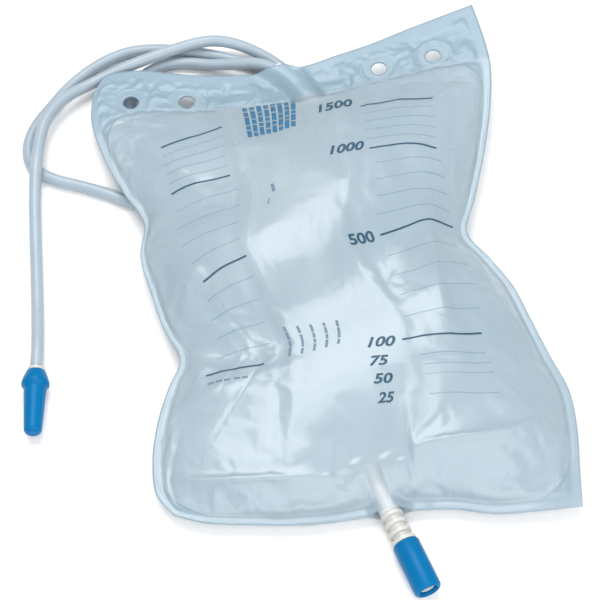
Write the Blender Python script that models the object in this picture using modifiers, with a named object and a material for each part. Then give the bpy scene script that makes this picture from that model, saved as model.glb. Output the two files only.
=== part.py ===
"""Urine drainage bag of two litres, lying on its back and lightly filled with air.

Run it with blender --background --python part.py, or from Blender's text editor.
Metres, +Z up. X runs across the bag and +Y towards its hanging holes. The origin is on the
flat spot that the back film rests on. The inlet tube lies in loops, partly under the bag.
"""

import math

import bmesh
import bpy
import numpy as np
from mathutils import Vector

MM = 0.001

# Film and welds
FILM = 0.4 * MM
GAP = 0.3 * MM  # clearance between two pieces that touch
WELD_GAP = 0.3 * MM  # between the two films where they are welded
RIM_WELD = 6.0 * MM
HEADER_MIDDLE = 26.0 * MM  # depth of the panel with the hanging holes, at the inlet
HEADER_ENDS = 36.0 * MM  # and at the corners
HOLE_D = 8.5 * MM
HOLES = (  # centres, from the left edge and from the top edge
    (27.0 * MM, 23.0 * MM), (58.0 * MM, 20.0 * MM), (165.0 * MM, 18.0 * MM), (196.0 * MM, 22.5 * MM),
)

# How far the films swell from the welded mid-surface
FRONT_SWELL = 29.0 * MM
BACK_SWELL = 17.0 * MM
LOWER_SHARE = 0.86  # height of the lower lobe against the upper one
VALLEY_LEFT = 0.30  # place of the valley on the left edge, from the bottom edge to the top one
VALLEY_RIGHT = 0.55
VALLEY_WIDTH = 0.085
VALLEY_DEPTH = 0.30
CROWN = 0.57  # the crown's place across the bag, from the left edge to the right one

# Folds of the front film: height, reach to the left and to the right of the line, in millimetres,
# then the line's points on the flat film, as shares of its width and its height
FOLDS = (
    (3.6, 9, 18, ((0.90, 0.575), (0.873, 0.516), (0.816, 0.454), (0.773, 0.394), (0.743, 0.329), (0.735, 0.25))),
    (2.6, 15, 9, ((0.60, 0.10), (0.705, 0.104), (0.789, 0.116), (0.859, 0.126), (0.911, 0.141), (0.95, 0.18))),
    (2.2, 15, 9, ((0.05, 0.09), (0.116, 0.08), (0.207, 0.075), (0.32, 0.074), (0.42, 0.066))),
    (2.2, 12, 14, ((0.03, 0.30), (0.10, 0.27), (0.20, 0.235))),
    (2.0, 12, 12, ((0.02, 0.37), (0.09, 0.43), (0.14, 0.51))),
    (2.0, 12, 12, ((0.98, 0.50), (0.93, 0.40), (0.91, 0.29))),
    (2.0, 13, 13, ((0.91, 0.84), (0.87, 0.74), (0.86, 0.63))),
    (1.8, 12, 12, ((0.09, 0.84), (0.13, 0.74), (0.12, 0.62))),
)
FOLD_FADE = 12.0 * MM  # the folds fade out over this length beside the welds

# The welded rim in millimetres, as the bag lies: x, y and height over the table
LEFT_EDGE = (
    (-97, -113, 8.5), (-104, -101, 8.5), (-104, -84, 9), (-99, -62, 9), (-91, -43, 9.5),
    (-84, -29, 10), (-90, -10, 11), (-94, 12, 11.5), (-97, 35, 12), (-93, 56, 12),
    (-101, 75, 12.5), (-110, 102, 12.5), (-114, 128, 12.5), (-111, 147, 12),
)
RIGHT_EDGE = (
    (98, -140, 8.5), (101, -122, 8.5), (105, -99, 9), (106, -77, 9), (101, -56, 9),
    (96, -34, 10), (91, -13, 11), (82, 6, 12), (74, 22, 12.5), (82, 42, 13.5),
    (93, 70, 16), (102, 98, 19), (107, 122, 22), (107, 141, 24), (105, 165, 25),
)
BOTTOM_EDGE = (
    (-97, -113, 8.5), (-84, -119, 8.5), (-60, -124, 8), (-32, -128, 7.5), (2, -128, 7.1), (14, -128, 7.1),
    (36, -131, 7.5), (56, -137, 8), (76, -139, 8.5), (98, -140, 8.5),
)
TOP_EDGE = (
    (-111, 147, 12), (-103, 157, 12.5), (-86, 158, 13), (-56, 149, 14), (-24, 143, 15.5), (2, 144, 16),
    (22, 147, 17), (44, 151, 18.5), (66, 157, 20), (105, 165, 25),
)

# Inlet tube and the collar that holds it in the top weld
TUBE_D = 6.5 * MM
PORT_WALL = 1.2 * MM
PORT_LENGTH = 42.0 * MM
PORT_BEND = 50.0 * MM  # radius of the collar's bend
PORT_START = (7.0 * MM, 107.0 * MM)
PORT_START_HEIGHT = 14.3 * MM
PORT_MOUTH_HEIGHT = 15.2 * MM
TUBE_SEATED = 12.0 * MM  # length of the tube inside the collar

# Connector and cap at the tube's far end, lengths from the tube's end
FLANGE_R = 4.3 * MM
FLANGE = 1.8 * MM
NOZZLE_R = 4.0 * MM
NOZZLE_TIP_R = 2.9 * MM
NOZZLE = 27.0 * MM
NOZZLE_BORE_R = 1.8 * MM
CAP_WALL = 1.3 * MM
CAP_FLARE_R = 7.0 * MM
CAP_FLARE = 7.0 * MM  # from the cap's mouth to its widest ring
CAP_LENGTH = 35.0 * MM

# Outlet, lengths along its axis from the bag's bottom edge
OUTLET_EDGE = (5.9 * MM, -127.0 * MM)
OUTLET_TURN = 14.0  # degrees that the outlet leans from straight down the bag, towards +X
STUB_R = 5.2 * MM
STUB_WALL = 1.1 * MM
STUB_INSIDE = 25.0 * MM
STUB_OUTSIDE = 1.5 * MM
SHANK_INSIDE = 10.0 * MM
STEM_R = 3.6 * MM
STEM_BORE_R = 2.3 * MM
RIB_R = 5.7 * MM
RIB = 2.0 * MM
RIB_PITCH = 4.8 * MM
RIBS = 3
SLEEVE_R = 6.8 * MM
SLEEVE_LENGTH = 26.5 * MM
SLEEVE_WALL = 1.3 * MM
SLEEVE_TRAVEL = 8.0 * MM
SLEEVE_LIFT = 0.15 * MM  # between the sleeve and the table
END_WALL = 3.0 * MM  # thickness of the sleeve's closed end round the stem
THROAT = 7.0 * MM  # length of the narrow bore at the sleeve's mouth
HEAD_R = 3.9 * MM
SEAL_R = 0.6 * MM  # radius of a seal ring's section

# Non-return valve
LEAF = 0.25 * MM
VALVE_LEFT = 0.335  # its place across the bag, from the left edge to the right one
VALVE_RIGHT = 0.605
VALVE_LENGTH = 140.0 * MM
VALVE_TUCK = 4.0 * MM  # length held in the header weld
LEAF_APART = 19.0 * MM  # below the weld, the leaves stay apart over this length, round the collar
LEAF_RAMP = 26.0 * MM  # and then come together over this one

# Route of the inlet tube's centre line, in millimetres, after it leaves the collar
TUBE_ROUTE = (
    (-14.8, 149, 14.6), (-21, 153, 13), (-28.5, 156, 10.5), (-36.5, 159, 7.8), (-45, 162.2, 5.4),
    (-54, 166, 3.9), (-63.5, 167.8, 3.4), (-73, 166.7, 3.4), (-81.5, 162.4, 3.4), (-88, 155, 3.4),
    (-92, 145, 3.4), (-94.5, 133, 3.4), (-95, 119, 3.4), (-91.5, 103, 3.4), (-80, 88.5, 3.4), (-60, 80, 3.4),
    (-38, 82, 3.4), (-21.5, 93, 3.4), (-12.5, 109, 3.4), (-8.2, 126, 3.4), (-7, 140, 3.4), (-9.8, 148.6, 3.4),
    (-15.6, 155.2, 3.4), (-22.9, 160.7, 3.4), (-33, 166, 3.4), (-43.7, 170.8, 3.4), (-54.6, 175, 3.4),
    (-66.2, 178.2, 3.4), (-76.8, 180, 3.4), (-87, 180.3, 3.4), (-98, 177.6, 3.4), (-108.5, 172.5, 3.4),
    (-117.5, 166.3, 3.4), (-127, 157.5, 3.4), (-136, 147, 3.4), (-144, 137, 3.4), (-148.8, 127, 3.4),
    (-150.2, 115.5, 3.4), (-146, 105, 3.4), (-136.5, 97.6, 3.4), (-124.4, 91.7, 3.4), (-111.6, 84.9, 3.4),
    (-98.9, 76.9, 3.4), (-82, 69.5, 3.4), (-60, 66, 3.4), (-35, 68.5, 3.4), (-14, 79, 3.4), (-1.5, 98, 3.4),
    (1.9, 120, 3.4), (1.6, 140, 3.4), (-2, 150.5, 3.4), (-8.6, 159.2, 3.9), (-19, 167.4, 6.2), (-30, 172.6, 8.8),
    (-41, 174.8, 10.5), (-51.5, 174.4, 10.7), (-63, 172.1, 10.6), (-74.4, 169, 10.6), (-84.1, 166.3, 10.4),
    (-93.9, 163.8, 9.2), (-103.6, 161, 7.6), (-113.2, 157, 7.4), (-124.5, 150.3, 9), (-133.4, 141.9, 10.3),
    (-139.6, 131.5, 10.6), (-143.3, 119, 10.6), (-145.8, 106, 10.7), (-148.3, 88, 8.6), (-150.2, 66, 4.8),
    (-151.6, 42, 3.5), (-153, 16, 4.3),
)
TUBE_END = (-156.0 * MM, -20.0 * MM)
TUBE_POINTS = 84
SEATED_POINTS = 7  # of them, those in the collar and just outside it
TUBE_ROOM = 1.3 * MM  # between the tube's top and the back film over it
TUBE_BAY_Y = 61.0 * MM  # the back film is held up by the tube beyond this line
TUBE_BAY_X = 6.0 * MM  # and to the left of this one
TUBE_BAY_EDGE = 14.0 * MM

# Fineness
EDGE_SAMPLES = 400
PIPES_LEFT = 84.0 * MM  # the columns between these two lines are close, for the collar and the outlet
PIPES_RIGHT = 127.0 * MM
FOOT = 32.0 * MM  # and the rows below this one, for the foot of the bag
HEADER_EASE = 12.0 * MM
ACROSS_ENDS = (RIM_WELD, PIPES_LEFT, PIPES_RIGHT, -RIM_WELD, 0.0)
ACROSS_CELLS = (2, 7, 13, 7, 2)
ALONG_ENDS = (RIM_WELD, FOOT, -HEADER_ENDS - HEADER_EASE, -HEADER_ENDS, -HEADER_MIDDLE, -RIM_WELD, 0.0)
ALONG_CELLS = (2, 3, 13, 2, 2, 5, 2)
ROUND_STEPS = 20
PIPE_STEPS = 16
RING_SIDES = 8

COLLECTION = "urine_drainage_bag"
CUTTERS = "cutters"


def clear_scene():
    for thing in list(bpy.data.objects):
        bpy.data.objects.remove(thing, do_unlink=True)


def make_collection(name, hidden=False):
    group = bpy.data.collections.new(name)
    bpy.context.scene.collection.children.link(group)
    group.hide_render = hidden
    return group


def make_material(name, colour, roughness, metallic=0.0, alpha=1.0):
    material = bpy.data.materials.new(name)
    material.use_nodes = True
    shader = material.node_tree.nodes["Principled BSDF"]
    shader.inputs["Base Color"].default_value = (*colour, 1.0)
    shader.inputs["Roughness"].default_value = roughness
    shader.inputs["Metallic"].default_value = metallic
    shader.inputs["Alpha"].default_value = alpha
    return material


def finish(thing, name, material):
    """Name an object, give it its material and move it into the bag's collection."""
    thing.name = name
    thing.data.name = name
    thing.data.materials.clear()
    thing.data.materials.append(material)
    for group in list(thing.users_collection):
        group.objects.unlink(thing)
    bpy.data.collections[COLLECTION].objects.link(thing)
    return thing


def make_cutter(thing):
    thing.hide_render = True
    thing.display_type = "WIRE"
    for group in list(thing.users_collection):
        group.objects.unlink(thing)
    bpy.data.collections[CUTTERS].objects.link(thing)
    return thing


def cut(thing, cutter, name):
    boolean = thing.modifiers.new(name, "BOOLEAN")
    boolean.operation = "DIFFERENCE"
    boolean.solver = "EXACT"
    boolean.object = cutter


def smooth_line(points, count):
    """count points, evenly spaced, on a centripetal Catmull-Rom curve through the points."""
    points = np.asarray(points, float)
    padded = np.vstack([2 * points[0] - points[1], points, 2 * points[-1] - points[-2]])
    fine = []
    for k in range(1, len(padded) - 2):
        a, b, c, d = padded[k - 1 : k + 3]
        ta = 0.0
        tb = ta + np.linalg.norm(b - a) ** 0.5
        tc = tb + np.linalg.norm(c - b) ** 0.5
        td = tc + np.linalg.norm(d - c) ** 0.5
        for t in np.linspace(tb, tc, 16, endpoint=False):
            ab = (a * (tb - t) + b * (t - ta)) / (tb - ta)
            bc = (b * (tc - t) + c * (t - tb)) / (tc - tb)
            cd = (c * (td - t) + d * (t - tc)) / (td - tc)
            abc = (ab * (tc - t) + bc * (t - ta)) / (tc - ta)
            bcd = (bc * (td - t) + cd * (t - tb)) / (td - tb)
            fine.append((abc * (tc - t) + bcd * (t - tb)) / (tc - tb))
    fine = np.array(fine + [points[-1]])
    along = np.concatenate([[0.0], np.cumsum(np.linalg.norm(np.diff(fine, axis=0), axis=1))])
    wanted = np.linspace(0.0, along[-1], count)
    return np.stack([np.interp(wanted, along, fine[:, k]) for k in range(fine.shape[1])], axis=1)


def edge_length(edge):
    return float(np.linalg.norm(np.diff(edge, axis=0), axis=1).sum())


def smooth_step(t):
    t = np.clip(t, 0.0, 1.0)
    return t * t * (3.0 - 2.0 * t)


LEFT = smooth_line(np.array(LEFT_EDGE) * MM, EDGE_SAMPLES)
RIGHT = smooth_line(np.array(RIGHT_EDGE) * MM, EDGE_SAMPLES)
BOTTOM = smooth_line(np.array(BOTTOM_EDGE) * MM, EDGE_SAMPLES)
TOP = smooth_line(np.array(TOP_EDGE) * MM, EDGE_SAMPLES)
WIDTH = (edge_length(TOP) + edge_length(BOTTOM)) / 2
HEIGHT = (edge_length(LEFT) + edge_length(RIGHT)) / 2
FOLD_LINES = [
    (height * MM, left * MM, right * MM, smooth_line(np.array(line) * (WIDTH, HEIGHT), 12))
    for height, left, right, line in FOLDS
]


def header_line(u):
    """Lower line of the header weld, as a share of the height: highest at the inlet."""
    return 1.0 - (HEADER_MIDDLE + (HEADER_ENDS - HEADER_MIDDLE) * (2 * u - 1) ** 2) / HEIGHT


def on_edge(edge, share):
    steps = np.linspace(0.0, 1.0, EDGE_SAMPLES)
    return np.stack([np.interp(share, steps, edge[:, k]) for k in range(3)], axis=-1)


def port_axis():
    """The collar's centre line: it starts under the header and bends left to its mouth."""
    turn = PORT_LENGTH / PORT_BEND
    centre = (PORT_START[0] - PORT_BEND, PORT_START[1])
    points = []
    for k in range(11):
        share = k / 10
        x = centre[0] + PORT_BEND * math.cos(turn * share)
        y = centre[1] + PORT_BEND * math.sin(turn * share)
        points.append((x, y, PORT_START_HEIGHT + (PORT_MOUTH_HEIGHT - PORT_START_HEIGHT) * share))
    return np.array(points)


OUTLET_DIRECTION = Vector(
    (math.sin(math.radians(OUTLET_TURN)), -math.cos(math.radians(OUTLET_TURN)), 0.0)
)
OUTLET_HEIGHT = SLEEVE_R + SLEEVE_LIFT
PORT_R = TUBE_D / 2 + GAP + PORT_WALL
TUBE_DIRECTION = Vector((-1.0, -8.0, 0.0)).normalized()
CAP_HEIGHT = CAP_FLARE_R + SLEEVE_LIFT


def outlet_point(distance):
    start = Vector((*OUTLET_EDGE, OUTLET_HEIGHT))
    return start + OUTLET_DIRECTION * distance


def outlet_axis():
    steps = np.linspace(-STUB_INSIDE, STUB_OUTSIDE, 11)
    return np.array([outlet_point(float(step)) for step in steps])


def beside(points, axis):
    """For each point, its distance in plan from the axis, and the axis's height there."""
    distance = np.full(points.shape[:-1], np.inf)
    height = np.zeros(points.shape[:-1])
    for a, b in zip(axis[:-1], axis[1:]):
        run = b - a
        share = ((points - a)[..., :2] @ run[:2]) / (run[:2] @ run[:2])
        share = np.clip(share, 0.0, 1.0)
        foot = a + share[..., None] * run
        gap = np.linalg.norm((points - foot)[..., :2], axis=-1)
        nearer = gap < distance
        distance = np.where(nearer, gap, distance)
        height = np.where(nearer, foot[..., 2], height)
    return distance, height


def mid_surface(u, v):
    """The surface between the films: u runs from left to right and v from bottom to top."""
    bottom, top = on_edge(BOTTOM, u), on_edge(TOP, u)
    left, right = on_edge(LEFT, v), on_edge(RIGHT, v)
    u, v = u[..., None], v[..., None]
    corners = (1 - v) * ((1 - u) * LEFT[0] + u * RIGHT[0]) + v * ((1 - u) * LEFT[-1] + u * RIGHT[-1])
    points = (1 - v) * bottom + v * top + (1 - u) * left + u * right - corners
    for axis, radius in ((port_axis(), PORT_R), (outlet_axis(), STUB_R)):
        distance, height = beside(points, axis)
        pull = 1.0 - smooth_step((distance - 2.4 * radius) / (4.0 * radius))
        points[..., 2] += pull * (height - points[..., 2])
    return points


def swell(u, v):
    """How full the bag is at a place, from 0 at the welds to about 1 at the crown."""
    rim_u, rim_v = RIM_WELD / WIDTH, RIM_WELD / HEIGHT
    across = np.clip((u - rim_u) / (1 - 2 * rim_u), 0.0, 1.0) ** (math.log(0.5) / math.log(CROWN))
    along = np.clip((v - rim_v) / (header_line(u) - rim_v), 0.0, 1.0)
    full = (4 * across * (1 - across)) ** 0.62 * (4 * along * (1 - along)) ** 0.5
    valley = VALLEY_LEFT + (VALLEY_RIGHT - VALLEY_LEFT) * u
    dip = VALLEY_DEPTH * (0.7 + 1.1 * (2 * u - 1) ** 2) * np.exp(-(((v - valley) / VALLEY_WIDTH) ** 2))
    share = LOWER_SHARE + (1 - LOWER_SHARE) * smooth_step((v - valley) / (2 * VALLEY_WIDTH) + 0.5)
    return full * share * (1 - dip)


def lengthened(axis, extra):
    """The same axis with both ends moved outwards, so that a film clears the pipe's end faces too."""
    first = axis[0] - extra * (axis[1] - axis[0]) / np.linalg.norm(axis[1] - axis[0])
    last = axis[-1] + extra * (axis[-1] - axis[-2]) / np.linalg.norm(axis[-1] - axis[-2])
    return np.vstack([first, axis, last])


def collar_bulge(points):
    """How far a film stands off to pass over the collar and the outlet stub."""
    bulge = np.zeros(points.shape[:-1])
    for axis, radius, room in ((port_axis(), PORT_R, 2 * GAP), (outlet_axis(), STUB_R, GAP / 2)):
        distance, _ = beside(points, lengthened(axis, radius))
        share = np.clip((distance - 0.35 * radius) / (1.9 * radius), 0.0, 1.0)
        bulge = np.maximum(bulge, (radius + room) * 0.5 * (1 + np.cos(math.pi * share)))
    return bulge


def leaf_room(u, v):
    """Extra room between the films where the header weld holds the valve's leaves."""
    side = smooth_step((u - VALVE_LEFT) / 0.05 + 1) * smooth_step((VALVE_RIGHT - u) / 0.05 + 1)
    tuck = VALVE_TUCK / HEIGHT
    depth = 1.0 - smooth_step((v - header_line(u) - tuck) / 0.03)
    return (LEAF + GAP) * side * depth


def join(fullness, bulge):
    return (fullness**4 + bulge**4) ** 0.25


def fold_lift(u, v):
    """How far the folds lift the front film at a place. They fade out beside its welds."""
    place = np.stack([u * WIDTH, v * HEIGHT], axis=-1)
    lift = np.zeros(np.shape(u))
    for height, left, right, line in FOLD_LINES:
        nearest, reach, at = np.full(np.shape(u), np.inf), np.ones(np.shape(u)), np.zeros(np.shape(u))
        for k, (a, b) in enumerate(zip(line[:-1], line[1:])):
            run = b - a
            share = np.clip((place - a) @ run / (run @ run), 0.0, 1.0)
            away = place - a - share[..., None] * run
            gap = np.linalg.norm(away, axis=-1)
            on_left = run[0] * away[..., 1] - run[1] * away[..., 0] > 0
            nearer = gap < nearest
            nearest = np.where(nearer, gap, nearest)
            reach = np.where(nearer, np.where(on_left, left, right), reach)
            at = np.where(nearer, (k + share) / (len(line) - 1), at)
        lift += height * np.exp(-((nearest / reach) ** 2)) * np.sqrt(4 * at * (1 - at))
    open_film = np.minimum(np.minimum(u, 1 - u) * WIDTH, v * HEIGHT) - RIM_WELD
    open_film = np.minimum(open_film, (header_line(u) - v) * HEIGHT)
    return lift * smooth_step(open_film / FOLD_FADE)


def front_rise(u, v, points):
    fullness = FRONT_SWELL * swell(u, v)
    return WELD_GAP / 2 + leaf_room(u, v) + join(fullness, collar_bulge(points)) + fold_lift(u, v)


def front_face(u, v):
    """The inner face of the front film."""
    points = mid_surface(u, v)
    points[..., 2] += front_rise(u, v, points)
    return points


def back_face(u, v):
    """The inner face of the back film. The table flattens it, and the tube holds it up."""
    points = mid_surface(u, v)
    fullness = BACK_SWELL * swell(u, v)
    drop = WELD_GAP / 2 + leaf_room(u, v) + join(fullness, collar_bulge(points))
    in_bay = smooth_step((points[..., 1] - TUBE_BAY_Y) / TUBE_BAY_EDGE + 1)
    in_bay *= smooth_step((TUBE_BAY_X - points[..., 0]) / TUBE_BAY_EDGE + 1)
    lowest = FILM + in_bay * (TUBE_D + TUBE_ROOM)
    points[..., 2] = np.maximum(points[..., 2] - drop, lowest)
    return points


def leaf_rise(u, v, points, behind):
    """Height of a valve leaf's upper face over the mid-surface."""
    front = front_rise(u, v, points) - GAP
    if not behind:
        return front
    held = -(WELD_GAP / 2 + leaf_room(u, v) + collar_bulge(points)) + GAP + LEAF
    free = front - LEAF - GAP
    ramp = smooth_step(((header_line(u) - v) * HEIGHT - LEAF_APART) / LEAF_RAMP)
    return held + ramp * (free - held)


def leaf_face(u, v, behind):
    points = mid_surface(u, v)
    points[..., 2] += leaf_rise(u, v, points, behind)
    return points


def grid_lines(ends, cells_to_end, size):
    """Shares from 0 to 1, with each span's cells up to its end. A negative end counts from the far side."""
    lines, start = [0.0], 0.0
    for end, cells in zip(ends, cells_to_end):
        stop = (end if end > 0 else size + end) / size
        lines += list(np.linspace(start, stop, cells + 1)[1:])
        start = stop
    return np.array(lines)


def sheet(name, across, along, face, thickness, outwards, material):
    """A flat grid laid on a curved face, then thickened to one side of it."""
    bpy.ops.mesh.primitive_grid_add(
        x_subdivisions=len(across) - 1, y_subdivisions=len(along) - 1, size=1.0
    )
    thing = bpy.context.object
    for vertex in thing.data.vertices:
        column = round((vertex.co.x + 0.5) * (len(across) - 1))
        row = round((vertex.co.y + 0.5) * (len(along) - 1))
        vertex.co = face(np.array(across[column]), np.array(along[row]))
    thing.data.shade_smooth()
    solid = thing.modifiers.new("thickness", "SOLIDIFY")
    solid.thickness = thickness
    solid.offset = 1.0 if outwards else -1.0
    solid.use_rim = True
    return finish(thing, name, material)


def hole_cutters():
    """An upright cylinder through both films at each hanging hole."""
    cutters = []
    for k, (from_left, from_top) in enumerate(HOLES):
        u = np.array(from_left / edge_length(TOP))
        v = np.array(1.0 - from_top / HEIGHT)
        centre = mid_surface(u, v)
        bpy.ops.mesh.primitive_cylinder_add(
            vertices=ROUND_STEPS, radius=HOLE_D / 2, depth=HEADER_ENDS, location=centre
        )
        cutter = make_cutter(bpy.context.object)
        cutter.name = f"hanging_hole_{k + 1}"
        cutters.append(cutter)
    return cutters


def make_films(materials):
    across = grid_lines(ACROSS_ENDS, ACROSS_CELLS, WIDTH)
    along = grid_lines(ALONG_ENDS, ALONG_CELLS, HEIGHT)
    front = sheet("front_film", across, along, front_face, FILM, True, materials["front film"])
    back = sheet("back_film", across, along, back_face, FILM, False, materials["back film"])
    for cutter in hole_cutters():
        cut(front, cutter, cutter.name)
        cut(back, cutter, cutter.name)


def between(lines, low, high):
    """The lines strictly between two shares, with the shares themselves at the ends."""
    inside = [line for line in lines if low + 0.002 < line < high - 0.002]
    return np.array([low, *inside, high])


def make_valve(materials):
    """Two leaves on the films' own grid lines, so that they follow the films closely."""
    across = between(grid_lines(ACROSS_ENDS, ACROSS_CELLS, WIDTH), VALVE_LEFT, VALVE_RIGHT)
    weld = header_line((VALVE_LEFT + VALVE_RIGHT) / 2)
    top = weld + VALVE_TUCK / HEIGHT
    along = between(grid_lines(ALONG_ENDS, ALONG_CELLS, HEIGHT), weld - VALVE_LENGTH / HEIGHT, top)
    for name, behind in (("valve_front_leaf", False), ("valve_back_leaf", True)):
        sheet(
            name, across, along, lambda u, v, b=behind: leaf_face(u, v, b), LEAF, False, materials["leaf"]
        )


def curve_object(name, points, radius, sides, capped):
    curve = bpy.data.curves.new(name, "CURVE")
    curve.dimensions = "3D"
    curve.bevel_depth = radius
    curve.bevel_resolution = max(sides // 2 - 2, 0)
    curve.use_fill_caps = capped
    spline = curve.splines.new("POLY")
    spline.points.add(len(points) - 1)
    for place, point in zip(spline.points, points):
        place.co = (*point, 1.0)
    thing = bpy.data.objects.new(name, curve)
    bpy.data.collections[COLLECTION].objects.link(thing)
    return thing


def hollow_pipe(name, points, radius, wall, material):
    """A pipe with open ends: the skin of a round curve, thickened inwards."""
    guide = curve_object(name + "_guide", points, radius, PIPE_STEPS, capped=False)
    graph = bpy.context.evaluated_depsgraph_get()
    mesh = bpy.data.meshes.new_from_object(guide.evaluated_get(graph))
    bpy.data.objects.remove(guide)
    work = bmesh.new()
    work.from_mesh(mesh)
    bmesh.ops.remove_doubles(work, verts=work.verts, dist=0.001 * MM)
    bmesh.ops.recalc_face_normals(work, faces=work.faces)
    work.to_mesh(mesh)
    work.free()
    mesh.shade_smooth()
    pipe = bpy.data.objects.new(name, mesh)
    bpy.data.collections[COLLECTION].objects.link(pipe)
    solid = pipe.modifiers.new("wall", "SOLIDIFY")
    solid.thickness = wall
    solid.offset = -1.0
    solid.use_rim = True
    return finish(pipe, name, material)


def turned(name, profile, place, direction, material):
    """A turned piece on its own Z. The profile runs down the outside and back up the bore."""
    mesh = bpy.data.meshes.new(name)
    closed = [(k, (k + 1) % len(profile)) for k in range(len(profile))]
    mesh.from_pydata([(radius, 0.0, height) for radius, height in profile], closed, [])
    thing = bpy.data.objects.new(name, mesh)
    bpy.data.collections[COLLECTION].objects.link(thing)
    thing.location = place
    thing.rotation_euler = direction.to_track_quat("Z", "Y").to_euler()
    screw = thing.modifiers.new("turn", "SCREW")
    screw.axis = "Z"
    screw.steps = screw.render_steps = ROUND_STEPS
    screw.use_merge_vertices = True
    screw.merge_threshold = 0.001 * MM
    screw.use_smooth_shade = True
    return finish(thing, name, material)


def make_port(materials):
    hollow_pipe("inlet_port", port_axis(), PORT_R, PORT_WALL, materials["clear"])


def tube_points():
    """The tube's centre line, with close points where it sits in the collar."""
    seated = smooth_line(port_axis(), EDGE_SAMPLES)
    first = round((1 - TUBE_SEATED / PORT_LENGTH) * (EDGE_SAMPLES - 1))
    end = (*TUBE_END, CAP_HEIGHT)
    before = Vector(end) - TUBE_DIRECTION * (2 * TUBE_D)
    route = [seated[first], seated[(first + EDGE_SAMPLES) // 2], seated[-1]]
    route += [np.array(point) * MM for point in TUBE_ROUTE] + [np.array(before), np.array(end)]
    fine = smooth_line(np.array(route), 8 * EDGE_SAMPLES)
    close = TUBE_SEATED + TUBE_D
    length = edge_length(fine)
    wanted = np.concatenate(
        [np.linspace(0.0, close, SEATED_POINTS)[:-1], np.linspace(close, length, TUBE_POINTS - SEATED_POINTS)]
    )
    along = np.linspace(0.0, length, len(fine))
    return np.stack([np.interp(wanted, along, fine[:, k]) for k in range(3)], axis=1)


def make_tube(materials):
    tube = curve_object("inlet_tube", tube_points(), TUBE_D / 2, 8, capped=True)
    finish(tube, "inlet_tube", materials["tube"])


def make_connector(materials):
    tip = FLANGE + NOZZLE
    profile = [
        (NOZZLE_TIP_R - 0.3 * MM, tip),
        (NOZZLE_TIP_R, tip - 0.5 * MM),
        (NOZZLE_R, FLANGE + 0.01 * MM),
        (FLANGE_R, FLANGE),
        (FLANGE_R, 0.0),
        (NOZZLE_BORE_R, 0.0),
        (NOZZLE_BORE_R, tip),
    ]
    place = Vector((*TUBE_END, CAP_HEIGHT)) + TUBE_DIRECTION * GAP
    turned("inlet_connector", profile, place, TUBE_DIRECTION, materials["white"])


def make_cap(materials):
    """The cap's own Z starts at its mouth, which the connector's flange meets."""
    fit = NOZZLE_R + GAP
    body_r = fit + CAP_WALL
    tip_r = NOZZLE_TIP_R + GAP + CAP_WALL
    bottom = NOZZLE + GAP
    round_r = tip_r * 0.55
    profile = [(0.0, CAP_LENGTH)]
    for k in range(5):
        turn = math.radians(90 * (1 - k / 4))
        ring = tip_r - round_r + round_r * math.cos(turn)
        profile.append((ring, CAP_LENGTH - round_r + round_r * math.sin(turn)))
    profile += [
        (body_r, CAP_FLARE + 4.5 * MM),
        (body_r + 0.35 * MM, CAP_FLARE + 2.2 * MM),
        (CAP_FLARE_R, CAP_FLARE + 0.8 * MM),
        (CAP_FLARE_R, CAP_FLARE - 0.8 * MM),
        (CAP_FLARE_R - 0.7 * MM, CAP_FLARE - 3.0 * MM),
        (CAP_FLARE_R - 1.7 * MM, 1.0 * MM),
        (CAP_FLARE_R - 2.1 * MM, 0.0),
        (fit, 0.0),
        (NOZZLE_TIP_R + GAP, bottom),
        (0.0, bottom),
    ]
    place = Vector((*TUBE_END, CAP_HEIGHT)) + TUBE_DIRECTION * (2 * GAP + FLANGE)
    turned("inlet_cap", profile, place, TUBE_DIRECTION, materials["blue"])


def stem_layout():
    """Places along the stem, from the bag's edge."""
    ribs_end = STUB_OUTSIDE + GAP + RIBS * RIB_PITCH
    sleeve_start = ribs_end + RIB + GAP
    stop = sleeve_start + END_WALL + SLEEVE_TRAVEL + GAP
    sleeve_end = sleeve_start + SLEEVE_LENGTH
    return ribs_end, sleeve_start, stop, sleeve_end


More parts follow.
